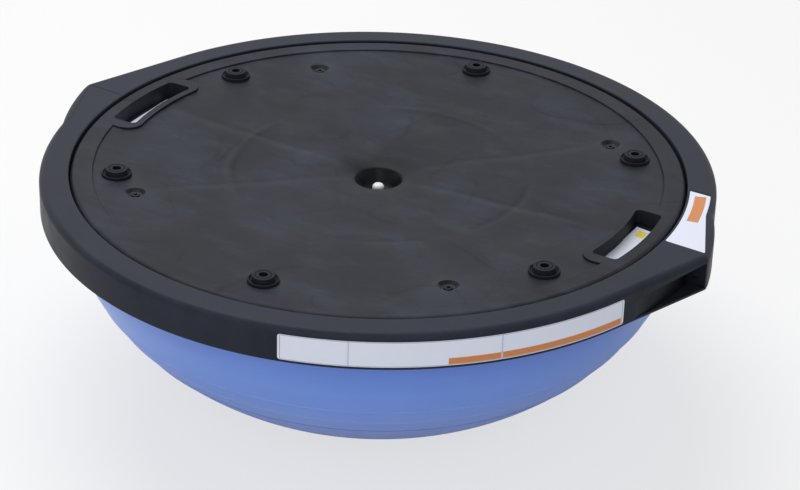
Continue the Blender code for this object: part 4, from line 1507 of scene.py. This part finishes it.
class TRAINER_OT_stage(bpy.types.Operator):
    """Sets the pale floor, the soft studio light and the camera"""

    bl_idname = "trainer.stage"
    bl_label = "Stage"
    aim_height = 0.15

    def execute(self, context):
        self.floor()
        self.world(context.scene)
        self.lamp("key_lamp", (-0.7, 0.3, 2.3), 2.0, 40.0)
        self.lamp("fill_lamp", (0.5, -2.2, 0.6), 1.4, 8.0)
        self.lamp("front_lamp", (1.05, -1.95, 1.62), 0.4, 2.5)
        self.camera(context.scene)
        context.scene.view_settings.view_transform = "Standard"
        return {"FINISHED"}

    def floor(self):
        """A wide matt floor that the camera sees paler than it is lit."""
        loose()
        bpy.ops.mesh.primitive_plane_add(size=30.0, location=(0, 0, -0.0002))
        floor = bpy.context.active_object
        floor.name = "pale_floor"
        made, point, feed = begin("pale_floor", {"Roughness": 0.9, "Specular IOR Level": 0.1})
        grain = point.noise(3, 2)
        feed("Base Color", (0.85 + grain * 0.03).tint((1.0, 1.0, 1.0)))
        feed("Roughness", 0.85 + grain * 0.1)
        tree = made.node_tree
        paper = Wire(tree, tree.nodes["Principled BSDF"].outputs[0])
        white = point.node("Emission", None, {"Color": (1.0, 1.0, 1.0, 1.0), "Strength": 1.0})
        seen = point.node("LightPath", output="Is Camera Ray")
        shown = point.node("MixShader", None, {0: seen * 0.66, 1: paper, 2: white})
        point.feed(tree.nodes["Material Output"].inputs["Surface"], shown)
        floor.data.materials.append(made)

    def world(self, scene):
        """A dim white room that the camera and the reflections see as full white."""
        world = bpy.data.worlds.new("studio")
        scene.world = world
        world.use_nodes = True
        tree = world.node_tree
        background = tree.nodes["Background"]
        art = Wire(tree)
        mirrored = art.node("LightPath", output="Is Glossy Ray")
        seen = art.node("LightPath", output="Is Camera Ray").most(mirrored)
        art.feed(background.inputs["Color"], (1.0, 1.0, 1.0, 1.0))
        art.feed(background.inputs["Strength"], 0.42 + seen * 0.58)

    def lamp(self, name, place, size, power):
        """A round area lamp that points at the middle of the trainer."""
        data = bpy.data.lights.new(name, "AREA")
        data.shape = "DISK"
        data.size = size
        data.energy = power
        lamp = bpy.data.objects.new(name, data)
        bpy.context.scene.collection.objects.link(lamp)
        lamp.location = place
        aim = Vector((0, 0, self.aim_height)) - Vector(place)
        lamp.rotation_euler = aim.to_track_quat("-Z", "Y").to_euler()

    def camera(self, scene):
        """The camera that was fitted to the photograph."""
        data = bpy.data.cameras.new("photo_camera")
        data.lens = 112.34
        data.sensor_width = 36.0
        camera = bpy.data.objects.new("photo_camera", data)
        scene.collection.objects.link(camera)
        camera.location = (1.0551, -1.8802, 1.3145)
        camera.rotation_euler = [math.radians(a) for a in (61.663, -1.492, 29.500)]
        scene.camera = camera


class TRAINER_PT_panel(bpy.types.Panel):
    """Lists the pieces and the stage"""

    bl_idname = "TRAINER_PT_panel"
    bl_label = "Balance trainer"
    bl_space_type = "VIEW_3D"
    bl_region_type = "UI"
    bl_category = "Trainer"

    def draw(self, context):
        for name in GROUPS:
            box = self.layout.box()
            box.label(text=name.capitalize())
            group = sizes(name)
            for key in group.__annotations__:
                box.prop(group, key)
        for operator in OPERATORS:
            self.layout.operator(operator.bl_idname)


GROUPS = {
    "ring": TRAINER_PG_ring,
    "plate": TRAINER_PG_plate,
    "dome": TRAINER_PG_dome,
    "small": TRAINER_PG_small,
    "colours": TRAINER_PG_colours,
}
OPERATORS = (
    TRAINER_OT_rim_ring,
    TRAINER_OT_base_plate,
    TRAINER_OT_dome,
    TRAINER_OT_valve,
    TRAINER_OT_feet,
    TRAINER_OT_plate_screws,
    TRAINER_OT_stickers,
    TRAINER_OT_stage,
)


def register():
    for made in (*GROUPS.values(), *OPERATORS, TRAINER_PT_panel):
        bpy.utils.register_class(made)
    for name, group in GROUPS.items():
        setattr(bpy.types.Scene, "trainer_" + name, bpy.props.PointerProperty(type=group))


def unregister():
    for name in GROUPS:
        delattr(bpy.types.Scene, "trainer_" + name)
    for made in (TRAINER_PT_panel, *reversed(OPERATORS), *GROUPS.values()):
        bpy.utils.unregister_class(made)


def main():
    register()
    for operator in OPERATORS:
        call = getattr(bpy.ops.trainer, operator.bl_idname.split(".")[1])
        if call() != {"FINISHED"}:
            raise RuntimeError(f"{operator.bl_label} didn't finish")
    loose()


if __name__ == "__main__":
    main()
